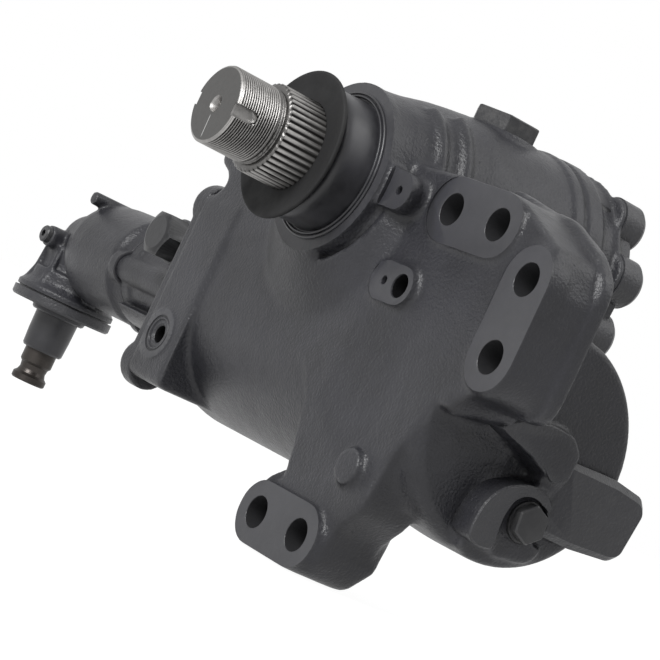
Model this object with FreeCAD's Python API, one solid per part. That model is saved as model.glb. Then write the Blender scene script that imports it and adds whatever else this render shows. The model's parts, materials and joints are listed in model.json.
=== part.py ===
import FreeCAD, Part
import math
import os

V = FreeCAD.Vector

# Steering gearbox: recirculating ball gear with a power piston, a rotary valve and a mitre input box.
# Millimetres. The origin lies where the sector shaft axis meets the plane of the mounting pads.
# X runs along the piston from the valve end to the closed end, -Y points out along the sector shaft,
# and Z points up from the piston to the sector shaft.

# Main layout
PISTON_Y = 71.0
PISTON_DROP = 106.7
BORE_R = 61.0
BARREL_R = 72.5
BORE_END = 162.6
DOME_FACE = 176.6
VALVE_FACE = -153.0
VALVE_FLANGE_T = 45.0
VALVE_FLANGE_HALF_W = 75.0
VALVE_FLANGE_HALF_H = 67.0
COVER_FACE = 162.0
BOSS_FACE = -20.7
BOSS_R = 55.5
MOUND_TILT = -10.0
PLATE_FRONT = -1.5
PLATE_BACK = 42.0
PLATE_SINK = 4.0

# Clearances
RUN_FIT = 0.08
THREAD_FIT = 0.1
SEAT_FIT = 0.3
BACKLASH = 0.3
BEVEL_BACKLASH = 0.5

# Mounting pads: pairs of clearance holes for three-quarter inch bolts
MOUNT_HOLE_R = 10.3
MOUNT_PITCH = 47.6
PAD_R = 20.6
PAD_A = (105.9, 0.4)
PAD_B = (200.0, -23.6)
PAD_C = (55.2, -211.2)

# Gear geometry
SECTOR_TEETH_FULL = 14
SECTOR_TEETH = 5
SECTOR_PITCH_R = 52.2
PRESSURE_ANGLE = math.radians(22.5)
ADDENDUM = 4.9
DEDENDUM = 6.0
SECTOR_WIDTH = 50.0
WORM_LEAD = 16.0
BALL_R = 4.0
BALL_TRACK_R = 19.0
BALL_COUNT = 18
BALL_TURNS = 2.5
SWING_DEG = 48.0

# Sector shaft
SHAFT_TIP = -114.0
THREAD_R = 25.4
THREAD_END = -79.4
SERRATION_R = 29.4
SERRATION_COUNT = 43
SERRATION_DEPTH = 1.5
SERRATION_RAMP = 1.7
SERRATION_LENGTH = 28.0
JOURNAL_R = 32.9
COVER_JOURNAL_R = 29.0
BEARING_WALL = 6.0
SEAL_WALL = 10.6

# Side cover
COVER_T = 12.0
COVER_DISC_R = 68.5
COVER_LOBE_R = 16.5
COVER_LOBE_T = 19.0
COVER_LOBE_CIRCLE = 63.5
COVER_BOLT_CIRCLE = 65.4
COVER_BOLT_ANGLES = (50.0, 13.0, -22.0, -52.0)
COVER_BOLT_R = 5.0
COVER_BOLT_GRIP = 22.0
CHAMBER_R = 58.2

# Piston and worm
PISTON_TAIL = -98.0
PISTON_NOSE = 114.0
CIRCUIT_SETBACK = 22.0
WORM_TIP = 13.0
WORM_GROOVE_START = -122.0
COLLAR_R = 25.0

# Valve end
VALVE_PLATE_T = 13.0
VALVE_BOLT_DY = 58.5
VALVE_BOLT_DZ = 57.5
VALVE_LOBE_R = 16.5
VALVE_LOBE_T = 17.0
VALVE_BODY_R = 33.0
VALVE_FOOT_R = 39.5
SLEEVE_R = 19.5
SPOOL_R = 10.5
VALVE_END = -288.4
LONG_SCREW_CIRCLE = 30.4
LONG_SCREW_R = 4.0
LONG_SCREW_HEAD_R = 6.5
LONG_SCREW_TUBE_R = 10.5
BOSS_SETBACK = 22.0

# Mitre box
MITRE_X = -413.4
DRUM_R = 40.5
DRUM_END = -382.4
BEVEL_TEETH = 16
BEVEL_R = 21.0
BEVEL_FACE = 8.0
STUB_R = 12.7
CAP_JOINT = -155.7
CAP_R = 40.0
INPUT_END = -222.2

# Closed end
END_RIM = 168.0
LUG_RISE = 8.0
STOP_Y = 88.5
STOP_Z = -147.2
STOP_R = 7.0
STOP_POCKET_R = 6.0

# Derived places
PISTON_Z = -PISTON_DROP
SEAL_BORE_R = JOURNAL_R + SEAL_WALL
PISTON_AXIS = (PISTON_Y, PISTON_Z)
PISTON_R = BORE_R - RUN_FIT
VALVE_FLANGE_BACK = VALVE_FACE - VALVE_PLATE_T
FLANGE_FRONT = PISTON_Y - VALVE_FLANGE_HALF_W
MITRE_AXIS = (MITRE_X, PISTON_Y)
SHAFT_AXIS = (0.0, 0.0)
BARREL_FRONT = PISTON_Y - BARREL_R
PLATE_LOW = PLATE_FRONT + PLATE_SINK
SERRATION_START = THREAD_END + SERRATION_RAMP
SERRATION_END = SERRATION_START + SERRATION_LENGTH
SECTOR_START = PISTON_Y - SECTOR_WIDTH / 2
SECTOR_STOP = PISTON_Y + SECTOR_WIDTH / 2
TRUNNION_END = COVER_FACE + COVER_T - 3
RACK_PITCH = 2 * math.pi * SECTOR_PITCH_R / SECTOR_TEETH_FULL
RACK_CUT = 2.5 * RACK_PITCH
RACK_HEIGHT = PISTON_DROP - SECTOR_PITCH_R
TRAVEL = SECTOR_PITCH_R * math.radians(SWING_DEG)

DIRECTION = {"X": V(1, 0, 0), "Y": V(0, 1, 0), "Z": V(0, 0, 1)}
nodes = {}


# Basic shapes

def spot(axis, centre, station):
    """Point at a station along a frame axis; centre holds the two other coordinates."""
    a, b = centre
    if axis == "X":
        return V(station, a, b)
    if axis == "Y":
        return V(a, station, b)
    return V(a, b, station)


def rod(axis, centre, radius, start, end):
    """Cylinder between two stations along a frame axis."""
    low = min(start, end)
    return Part.makeCylinder(radius, abs(end - start), spot(axis, centre, low), DIRECTION[axis])


def tube(axis, centre, inner, outer, start, end):
    """Ring or sleeve between two stations."""
    return rod(axis, centre, outer, start, end).cut(rod(axis, centre, inner, start, end))


def turned(axis, centre, profile):
    """Solid of revolution from (station, radius) corners."""
    a, b = centre
    points = []
    for station, radius in profile:
        if axis == "X":
            points.append(V(station, a, b - radius))
        elif axis == "Y":
            points.append(V(a, station, b - radius))
        else:
            points.append(V(a, b + radius, station))
    points.append(points[0])
    face = Part.Face(Part.makePolygon(points))
    return face.revolve(spot(axis, centre, 0), DIRECTION[axis], 360)


def corner_arc(before, corner, after, radius):
    """Tangent points and middle of the arc that rounds one corner."""
    one = (before - corner).normalize()
    two = (after - corner).normalize()
    angle = math.acos(max(-1.0, min(1.0, one.dot(two))))
    reach = radius / math.tan(angle / 2)
    bisector = (one + two).normalize()
    middle = corner + bisector * (radius / math.sin(angle / 2) - radius)
    return corner + one * reach, middle, corner + two * reach


def outline(axis, station, corners):
    """Closed wire from (u, v) or (u, v, corner radius) tuples."""
    places = [spot(axis, (c[0], c[1]), station) for c in corners]
    count = len(corners)
    starts = []
    for i in range(count):
        if len(corners[i]) == 3:
            arc = corner_arc(places[i - 1], places[i], places[(i + 1) % count], corners[i][2])
        else:
            arc = (places[i], None, places[i])
        starts.append(arc)
    edges = []
    for i in range(count):
        entry, middle, leave = starts[i]
        if middle is not None:
            edges.append(Part.Arc(entry, middle, leave).toShape())
        following = starts[(i + 1) % count][0]
        if (following - leave).Length > 1e-6:
            edges.append(Part.makeLine(leave, following))
    return Part.Wire(edges)


def prism(axis, corners, start, end):
    """Extrusion of a rounded outline between two stations."""
    face = Part.Face(outline(axis, start, corners))
    return face.extrude(DIRECTION[axis] * (end - start))


def stadium(axis, first, second, radius, start, end):
    """Prism with two parallel sides and two round ends, centred on two points."""
    along = V(second[0] - first[0], second[1] - first[1], 0).normalize()
    side = V(-along.y, along.x, 0) * radius
    nose = along * radius
    one = V(first[0], first[1], 0)
    two = V(second[0], second[1], 0)
    path = [one + side, one - nose, one - side, two - side, two + nose, two + side]
    spots = [spot(axis, (p.x, p.y), start) for p in path]
    edges = [Part.Arc(spots[0], spots[1], spots[2]).toShape(),
             Part.makeLine(spots[2], spots[3]),
             Part.Arc(spots[3], spots[4], spots[5]).toShape(),
             Part.makeLine(spots[5], spots[0])]
    return Part.Face(Part.Wire(edges)).extrude(DIRECTION[axis] * (end - start))


def block(x0, x1, y0, y1, z0, z1):
    return Part.makeBox(x1 - x0, y1 - y0, z1 - z0, V(x0, y0, z0))


def fused(shapes):
    first = shapes[0]
    return first.fuse(shapes[1:]).removeSplitter()


def aimed(shape, point, direction):
    """Move a shape built on +Z at the origin to a point, with +Z turned to the direction."""
    moved = shape.copy()
    turn = FreeCAD.Placement(point, FreeCAD.Rotation(V(0, 0, 1), direction))
    moved.Placement = turn.multiply(shape.Placement)
    return moved


def rounded_edges(shape, radius, wanted):
    """Round the edges that a test picks; the sharp shape stays where the rounding finds no room."""
    edges = [e for e in shape.Edges if wanted(e)]
    if not edges:
        return shape
    try:
        result = shape.makeFillet(radius, edges)
    except Exception:
        return shape
    if result.isValid() and result.Volume > 0:
        return result
    return shape


def on_plane(edge, axis, station):
    """True where a whole edge lies in one frame plane."""
    box = edge.BoundBox
    low = {"X": box.XMin, "Y": box.YMin, "Z": box.ZMin}[axis]
    high = {"X": box.XMax, "Y": box.YMax, "Z": box.ZMax}[axis]
    return abs(low - station) < 1e-3 and abs(high - station) < 1e-3


# Fasteners, each built on +Z with the underside of its head at zero

def hexagon(across_flats, low, high, chamfered=True):
    corner = across_flats / math.sqrt(3)
    points = [V(corner * math.cos(math.radians(60 * k)), corner * math.sin(math.radians(60 * k)), low)
              for k in range(7)]
    solid = Part.Face(Part.makePolygon(points)).extrude(V(0, 0, high - low))
    if not chamfered:
        return solid
    slope = corner * 0.14
    trim = turned("Z", (0, 0), [(low, 0), (low, corner + 1), (high - slope - 1, corner + 1),
                                (high - slope, corner), (high, corner - 2.2 * slope), (high, 0)])
    return solid.common(trim)


def hex_bolt(shank_r, length, across_flats, head_h, flange_r, flange_h):
    """Hexagon bolt with a washer face and a chamfered point."""
    shank = turned("Z", (0, 0), [(0.5, 0), (0.5, shank_r), (1 - length, shank_r),
                                 (-length, shank_r - 1), (-length, 0)])
    flange = turned("Z", (0, 0), [(0, 0), (0, flange_r), (flange_h * 0.6, flange_r),
                                  (flange_h * 1.3, flange_r * 0.8), (flange_h * 1.3, 0)])
    return fused([hexagon(across_flats, flange_h * 0.5, head_h), flange, shank])


def hex_nut(bore_r, across_flats, height):
    return hexagon(across_flats, 0, height).cut(rod("Z", (0, 0), bore_r, -1, height + 1))


# Gear teeth

def involute(angle):
    return math.tan(angle) - angle


def sector_tooth(centre_angle):
    """One involute tooth; the angle is measured from straight down, towards +X."""
    base_r = SECTOR_PITCH_R * math.cos(PRESSURE_ANGLE)
    tip_r = SECTOR_PITCH_R + ADDENDUM
    foot_r = SECTOR_PITCH_R - DEDENDUM - 2
    half_pitch = (RACK_PITCH / 4 - BACKLASH / 2) / SECTOR_PITCH_R
    steps = 4
    left = []
    right = []
    for k in range(steps + 1):
        radius = base_r + (tip_r - base_r) * k / steps
        pressure = math.acos(min(1.0, base_r / radius))
        half = half_pitch + involute(PRESSURE_ANGLE) - involute(pressure)
        for side, store in ((-1, left), (1, right)):
            angle = centre_angle + side * half
            store.append(V(radius * math.sin(angle), SECTOR_START, -radius * math.cos(angle)))
    foot = []
    for flank in (left, right):
        foot.append(flank[0] * 1)
    flanks = []
    for flank in (left, right):
        curve = Part.BSplineCurve()
        curve.interpolate(flank)
        flanks.append(curve.toShape())
    tip = Part.Arc(left[-1], V(tip_r * math.sin(centre_angle), SECTOR_START, -tip_r * math.cos(centre_angle)),
                   right[-1]).toShape()
    scale = foot_r / base_r
    inner = [V(p.x * scale, SECTOR_START, p.z * scale) for p in foot]
    wire = Part.Wire([flanks[0], tip, flanks[1], Part.makeLine(right[0], inner[1]),
                      Part.makeLine(inner[1], inner[0]), Part.makeLine(inner[0], left[0])])
    return Part.Face(wire).extrude(V(0, SECTOR_WIDTH, 0))


def rack_gap(centre, open_side=0):
    """Space between two rack teeth, or beyond the last one where open_side is -1 or 1."""
    root = RACK_HEIGHT - DEDENDUM
    top = PISTON_R + 3
    slope = math.tan(PRESSURE_ANGLE)
    half_root = RACK_PITCH / 4 + BACKLASH / 2 - DEDENDUM * slope
    half_top = RACK_PITCH / 4 + BACKLASH / 2 + (top - RACK_HEIGHT) * slope
    corners = [(centre - half_root, root), (centre + half_root, root),
               (centre + half_top, top), (centre - half_top, top)]
    if open_side > 0:
        corners[1] = (RACK_CUT - 3, root)
        corners[2] = (RACK_CUT, top)
    if open_side < 0:
        corners[0] = (-RACK_CUT + 3, root)
        corners[3] = (-RACK_CUT, top)
    points = [(x, PISTON_Z + z) for x, z in corners]
    return prism("Y", points, PISTON_Y - BORE_R - 1, PISTON_Y + BORE_R + 1)


def bevel_gear(phase, bore_r, back):
    """Straight bevel gear with a 45 degree pitch cone, its apex at the origin and its body towards -Z."""
    module = 2 * BEVEL_R / BEVEL_TEETH
    rise = module * 0.8
    sink = module * 1.0
    root2 = math.sqrt(2)
    tip = (BEVEL_R + rise / root2, -BEVEL_R + rise / root2)
    foot = (BEVEL_R - (sink + 0.6) / root2, -BEVEL_R - (sink + 0.6) / root2)
    root = (BEVEL_R - sink / root2, -BEVEL_R - sink / root2)
    shrink = 1 - BEVEL_FACE / (BEVEL_R * root2)
    half_width = math.pi * module / 4 - BEVEL_BACKLASH / 2
    half_tip = half_width - rise * math.tan(math.radians(24))
    half_foot = half_width + (sink + 0.6) * math.tan(math.radians(24))
    blank = turned("Z", (0, 0), [(root[1] * shrink, bore_r), (root[1] * shrink, root[0] * shrink),
                                 (root[1], root[0]), (root[1] - 3, root[0] - 1),
                                 (root[1] - 3, root[0] - 4), (-back, root[0] - 4), (-back, bore_r)])
    teeth = []
    for k in range(BEVEL_TEETH):
        turn = phase + 2 * math.pi * k / BEVEL_TEETH
        ends = []
        for scale in (1.0, shrink):
            ring = []
            for (radius, height), half in ((foot, -half_foot), (foot, half_foot),
                                           (tip, half_tip), (tip, -half_tip)):
                angle = turn + half / radius
                ring.append(V(radius * math.cos(angle), radius * math.sin(angle), height) * scale)
            ring.append(ring[0])
            ends.append(Part.makePolygon(ring))
        teeth.append(Part.makeLoft(ends, True, True))
    return fused([blank] + teeth)


def ball_groove(start, end, radius):
    """Helical channel for the balls between two stations on the piston axis."""
    turns = (end - start) / WORM_LEAD
    helix = Part.makeHelix(WORM_LEAD, end - start, BALL_TRACK_R)
    tangent = V(0, 2 * math.pi * BALL_TRACK_R, WORM_LEAD)
    circle = Part.Wire(Part.Circle(V(BALL_TRACK_R, 0, 0), tangent, radius).toShape())
    pipe = Part.Wire(helix.Edges).makePipeShell([circle], True, True)
    first = Part.makeSphere(radius, V(BALL_TRACK_R, 0, 0))
    angle = 2 * math.pi * turns
    last = Part.makeSphere(radius, V(BALL_TRACK_R * math.cos(angle), BALL_TRACK_R * math.sin(angle),
                                     end - start))
    phase = math.degrees(2 * math.pi * start / WORM_LEAD)
    result = []
    for piece in (pipe, first, last):
        piece.rotate(V(0, 0, 0), V(0, 0, 1), phase)
        result.append(aimed(piece, V(start, PISTON_Y, PISTON_Z), V(1, 0, 0)))
    return result


# Gear housing

def mount_holes(pad):
    """The two hole centres of a mounting pad; pads A and C run along X, pad B down Z."""
    x, z = pad
    if pad == PAD_B:
        return [(x, z), (x, z - MOUNT_PITCH)]
    return [(x, z), (x + MOUNT_PITCH, z)]


def housing_barrel():
    """Cylinder around the piston bore, drawn in a little at the edge of the closed end."""
    return turned("X", PISTON_AXIS, [(VALVE_FACE + 20, 0), (VALVE_FACE + 20, BARREL_R),
                                     (END_RIM - 18, BARREL_R), (END_RIM - 5, BARREL_R - 2),
                                     (END_RIM, BARREL_R - 6), (END_RIM, 0)])


def housing_end_cap():
    """Raised part of the closed end: all of it but the hollow under the D-shaped pad."""
    cap = turned("X", PISTON_AXIS, [(END_RIM - 20, 0), (END_RIM - 20, BARREL_R), (DOME_FACE - 4, BARREL_R),
                                    (DOME_FACE - 1, BARREL_R - 1.5), (DOME_FACE, BARREL_R - 4),
                                    (DOME_FACE, 0)])
    hollow = prism("X", [(-10, -97), (46, -97), (52, -105), (84, -119), (88, -124), (76, -129), (62, -138),
                         (57, -148), (55, -170), (60, -190), (-10, -190)], END_RIM - 25, DOME_FACE + 5)
    return cap.cut(hollow)


def housing_valve_flange():
    w = VALVE_FLANGE_HALF_W
    h = VALVE_FLANGE_HALF_H
    y = PISTON_Y
    z = PISTON_Z
    corners = [(y - w, z - h, 7), (y + w, z - h, 20), (y + w, z + h, 20), (y - w, z + h, 7)]
    return prism("X", corners, VALVE_FACE, VALVE_FACE + VALVE_FLANGE_T)


def housing_sector_body():
    """Tapered tower around the sector shaft, from the seal boss to the cover face."""
    profile = [(BOSS_FACE, 0), (BOSS_FACE, BOSS_R - 3.5), (BOSS_FACE + 1, BOSS_R - 1.2),
               (BOSS_FACE + 3, BOSS_R),
               (-8, BOSS_R + 1), (3, BOSS_R + 2.8), (13.5, 60.9), (22, 63), (36, 65.4), (53, 67.8),
               (100, 70.2),
               (COVER_FACE - 28, 71.5), (COVER_FACE - 25, 70.5), (COVER_FACE - 21, 70.5),
               (COVER_FACE - 18, 72.8),
               (COVER_FACE, 72.8), (COVER_FACE, 0)]
    return turned("Y", SHAFT_AXIS, profile)


def housing_web():
    """Flat casting wall that carries the pads and joins tower, barrel and foot."""
    bx = PAD_B[0] + PAD_R
    bottom = PAD_B[1] - MOUNT_PITCH - PAD_R
    foot = PAD_C[1] - PAD_R
    far = PAD_C[0] + MOUNT_PITCH + PAD_R
    corners = [(-113.4, PISTON_Z + VALVE_FLANGE_HALF_H - 1), (-13.4, 20.8, 30), (16, 50), (46.6, 50.8, 8),
               (91.6, PAD_A[1] + PAD_R + 1.5, 12), (158.6, PAD_A[1] + PAD_R - 0.2, 30), (bx - 9, -1.2, 16),
               (bx, -24.2, 12), (bx, bottom, 20), (192.6, -95, 20), (169, -115, 30), (153, -141, 30),
               (149, -160, 30), (146, -180, 20), (far + 4, -198, 14), (far, foot, 20),
               (PAD_C[0] - PAD_R, foot, 20), (PAD_C[0] - PAD_R, foot + 41, 20), (59, -186, 6),
               (55.5, -163, 40),
               (49.6, -137), (34, -115), (-30, PISTON_Z), (-113.4, PISTON_Z)]
    return prism("Y", corners, PLATE_FRONT, PLATE_BACK)


def housing_foot():
    """Wedge behind the foot pad that runs back up into the barrel."""
    foot = PAD_C[1] - PAD_R
    side = prism("X", [(8, foot + 1), (38, foot - 1, 8), (50, -211, 10), (62, -186), (62, -160), (8, -160)],
                 PAD_C[0] - PAD_R + 1, 141)
    plan = prism("Y", [(PAD_C[0] - PAD_R, foot, 20), (118, foot, 14), (127, -212, 10), (122, -200, 8),
                       (134, -184, 10),
                       (148, -160), (148, -120), (50, -120), (58, -176, 10),
                       (PAD_C[0] - PAD_R, foot + 41, 16)], 6, 68)
    # The back of the foot slopes away towards the closed end
    slope = prism("Z", [(94, 70), (131, 44), (141, 30), (160, 30), (160, 70)], -240, -176)
    return side.common(plan).cut(slope)


def housing_saddle():
    """Mass between the sector tower and the barrel."""
    corners = [(-66, 8), (66, 8), (76, -60), (84, PISTON_Z), (-84, PISTON_Z), (-72, -60)]
    return prism("Y", corners, PLATE_FRONT, COVER_FACE - 18)


def housing_pad_block():
    """Slightly larger strip along the back of the block that carries the right-hand pad."""
    right = PAD_B[0] + PAD_R + 2
    bottom = PAD_B[1] - MOUNT_PITCH - PAD_R - 1.6
    strip = [(100, 8), (104, 30, 8), (121.6, 27.8, 10), (168.6, 20.5, 20), (right - 4, -4.2, 14),
             (right, -26, 10),
             (right, bottom, 20), (165, bottom, 10), (150, -60)]
    return prism("Y", strip, 34.5, 44)


def housing_neck():
    """Round-nosed wall that carries the flange's front plane up towards the sector boss."""
    corners = [(VALVE_FACE + 3, PISTON_Z + 40), (VALVE_FACE + 3, -42, 12), (-139.6, -31, 6), (-146, -24, 6),
               (-160, -18, 7), (-161, -5, 8), (-138, -2, 12), (-106, -2, 10), (-58, 12), (-58, -50),
               (-106, PISTON_Z + 40)]
    return prism("Y", corners, FLANGE_FRONT + 1.5, 24)


def housing_pads():
    pads = []
    for pad in (PAD_A, PAD_B, PAD_C):
        first, second = mount_holes(pad)
        pads.append(stadium("Y", first, second, PAD_R, 0, 14))
    return pads


def housing_front_details():
    """Ear beside the boss, port boss, locating pad and the soft bands over the upper pad."""
    ear = stadium("Y", (50, 0), (70.5, -1), 11.4, -15.5, 8)
    port = stadium("Y", (78.1, -53.0), (95.7, -53.0), 12.6, -3.4, 12)
    pad = rod("Y", (122.6, -161.2), 11.5, PLATE_FRONT - 1.5, 12)
    shapes = [ear, port, pad]
    for start, end in ((17, 25), (32, 41)):
        shapes.append(prism("Y", [(30, 20), (96, 16), (88, 33, 14), (60, 55, 20), (30, 60)], start, end))
    return shapes


def housing_end_details():
    """D-shaped pad, horseshoe wall round the stop screw, bar lug and the rib in the hollow."""
    floor = DOME_FACE + LUG_RISE - 3
    d_pad = prism("X", [(40, -101, 4), (70, -91, 12), (91, -89, 12), (108, -105, 14), (97, -121, 8),
                        (84, -118, 5)],
                  END_RIM - 12, DOME_FACE + LUG_RISE + 3)
    bowl = prism("X", [(53, -168, 4), (56, -146, 8), (63, -134, 10), (80, -126, 8), (104, -124, 6),
                       (112, -146, 6),
                       (106, -170, 12), (80, -173, 12)], END_RIM - 14, floor)
    wall = prism("X", [(53, -168, 4), (56, -146, 8), (63, -134, 10), (80, -126, 8), (93, -123.5),
                       (93, -129.5),
                       (80, -131.5, 7), (71, -139, 8), (69, -150, 6), (72, -170)], END_RIM - 14, floor + 5)
    bar = prism("X", [(84, -103), (164, -106.5, 4), (170, -124, 8), (161, -147, 9), (84, -147)],
                END_RIM - 6, DOME_FACE + LUG_RISE)
    bar_root = prism("X", [(90, -99), (140, -99, 6), (150, -150, 8), (90, -150)], END_RIM - 28, END_RIM - 2)
    rib = prism("X", [(3, -122, 3), (6, -114, 4), (38, -112, 20), (66, -116), (68, -123), (40, -121, 20)],
                END_RIM - 12, END_RIM + 6)
    return [d_pad, bowl, wall, bar, bar_root, rib]


def housing_cover_lugs():
    """Short tapered lugs that back up the cover bolts."""
    lugs = []
    for x, z in cover_places(COVER_LOBE_CIRCLE):
        lugs.append(turned("Y", (x, z), [(COVER_FACE - 16, 0), (COVER_FACE - 16, 6),
                                         (COVER_FACE - 5, COVER_LOBE_R - 0.5),
                                         (COVER_FACE, COVER_LOBE_R - 0.5), (COVER_FACE, 0)]))
    return lugs


def cover_places(circle):
    """Places on a circle round the sector shaft, at the angles of the cover bolts."""
    places = []
    for angle in COVER_BOLT_ANGLES:
        for side in (1, -1):
            places.append((side * circle * math.cos(math.radians(angle)), circle * math.sin(math.radians(angle))))
    return places


def cover_bolt_places():
    return cover_places(COVER_BOLT_CIRCLE)


def valve_bolt_places():
    places = []
    for dy in (-VALVE_BOLT_DY, VALVE_BOLT_DY):
        for dz in (-VALVE_BOLT_DZ, VALVE_BOLT_DZ):
            places.append((PISTON_Y + dy, PISTON_Z + dz))
    return places


def cover_shape(start, end, lobe_end, grow=0.0):
    """Disc of the side cover with its taller lobes, also used to clear the casting around it."""
    shapes = [rod("Y", SHAFT_AXIS, COVER_DISC_R + grow, start, end)]
    for x, z in cover_places(COVER_LOBE_CIRCLE):
        lobe = COVER_LOBE_R + grow
        shapes.append(turned("Y", (x, z), [(start, 0), (start, lobe), (lobe_end - 3, lobe),
                                           (lobe_end, lobe - 2.2),
                                           (lobe_end, 0)]))
    return fused(shapes)


def housing_mound():
    """Low cone round the seal boss, highest towards the piston."""
    cone = turned("Y", SHAFT_AXIS, [(-9, 0), (-9, BOSS_R + 4.5), (-8.3, BOSS_R + 6), (18, 96.5), (18, 0)])
    cone.rotate(V(0, 0, 0), V(1, 0, 0), MOUND_TILT)
    return cone.common(block(-100, 90, -40, 20, -104, 5))


def boss_ditch():
    """Narrow hollow between the seal boss and the mound, on the side towards the closed end."""
    ring = turned("Y", SHAFT_AXIS, [(-30, BOSS_R + 1.0), (-6, BOSS_R + 1.4), (-4, BOSS_R + 2.4),
                                    (-6, BOSS_R + 4),
                                    (-30, BOSS_R + 7)])
    return ring.common(prism("Y", [(8, -20), (28, -80), (90, -80), (90, -14), (40, -10)], -31, 10))


def make_gear_housing():
    solid = [housing_sector_body(), housing_barrel(), housing_valve_flange(), housing_web(), housing_foot(),
             housing_saddle(), housing_pad_block(), housing_neck(), housing_end_cap()]
    solid += housing_cover_lugs()
    body = fused(solid)
    # The front wall falls away to the right and towards the foot
    slope_right = prism("Z", [(66, PLATE_FRONT), (122, PLATE_LOW), (250, PLATE_LOW), (250, -12),
                              (66, -12)], -240, 60)
    slope_foot = prism("X", [(PLATE_FRONT, -136), (5, -196), (5, -245), (-30, -245), (-30, -136)], 20, 170)
    body = body.cut([slope_right, slope_foot])
    port_ring = rod("Y", (-134.5, -141.2), 16.5, FLANGE_FRONT - 0.8, 0)
    body = fused([body, port_ring,
                  housing_mound()] + housing_pads() + housing_front_details() + housing_end_details())

    cuts = [rod("X", PISTON_AXIS, BORE_R, VALVE_FACE - 1, BORE_END),
            turned("Y", SHAFT_AXIS, [(BOSS_FACE - 1, 0), (BOSS_FACE - 1, SEAL_BORE_R),
                                     (BOSS_FACE + 13, SEAL_BORE_R),
                                     (BOSS_FACE + 13, JOURNAL_R + 2), (BOSS_FACE + 16, JOURNAL_R + 2),
                                     (BOSS_FACE + 16, JOURNAL_R + BEARING_WALL),
                                     (SECTOR_START - 4, JOURNAL_R + BEARING_WALL),
                                     (SECTOR_START - 4, CHAMBER_R), (COVER_FACE + 1, CHAMBER_R),
                                     (COVER_FACE + 1, 0)]),
            cover_shape(COVER_FACE, COVER_FACE + 20, COVER_FACE + 30, 1.5), boss_ditch()]
    for pad in (PAD_A, PAD_B, PAD_C):
        for hole in mount_holes(pad):
            cuts.append(turned("Y", hole, [(-2, 0), (-2, MOUNT_HOLE_R), (PLATE_BACK + 1, MOUNT_HOLE_R),
                                           (PLATE_BACK + 1, PAD_R - 3), (PLATE_BACK + 14, PAD_R - 3),
                                           (PLATE_BACK + 14, 0)]))
    for x, z in cover_bolt_places():
        cuts.append(rod("Y", (x, z),
                        COVER_BOLT_R + THREAD_FIT, COVER_FACE - COVER_BOLT_GRIP - 0.5, COVER_FACE + 1))
    for y, z in valve_bolt_places():
        cuts.append(rod("X", (y, z), 8 + THREAD_FIT, VALVE_FACE - 1, VALVE_FACE + 36))
    cuts += [rod("Y", (95.7, -53.0), 7.3, -5, 14),
             rod("Y", (78.6, -53.0), 2.5, -5, 6),
             rod("Y", (70.5, -1), 2.6, -17, -8),
             turned("Y", (-134.5, -141.2), [(-6, 0), (-6, 10.4), (FLANGE_FRONT + 2, 10.4),
                                            (FLANGE_FRONT + 2, 6.1),
                                            (12, 6.1), (12, 0)]),
             rod("Z", (0, 85.1), 13 + THREAD_FIT, 45, 80),
             rod("Z", (0, 85.1), 22.4, 69, 80),
             rod("X", (STOP_Y, STOP_Z), STOP_R + THREAD_FIT, BORE_END - 1, DOME_FACE + 20),
             rod("X", (STOP_Y, STOP_Z), 14.0, DOME_FACE + LUG_RISE - 4, DOME_FACE + 20)]
    body = body.cut(cuts)
    return body.removeSplitter()


# Sector shaft group

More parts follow.
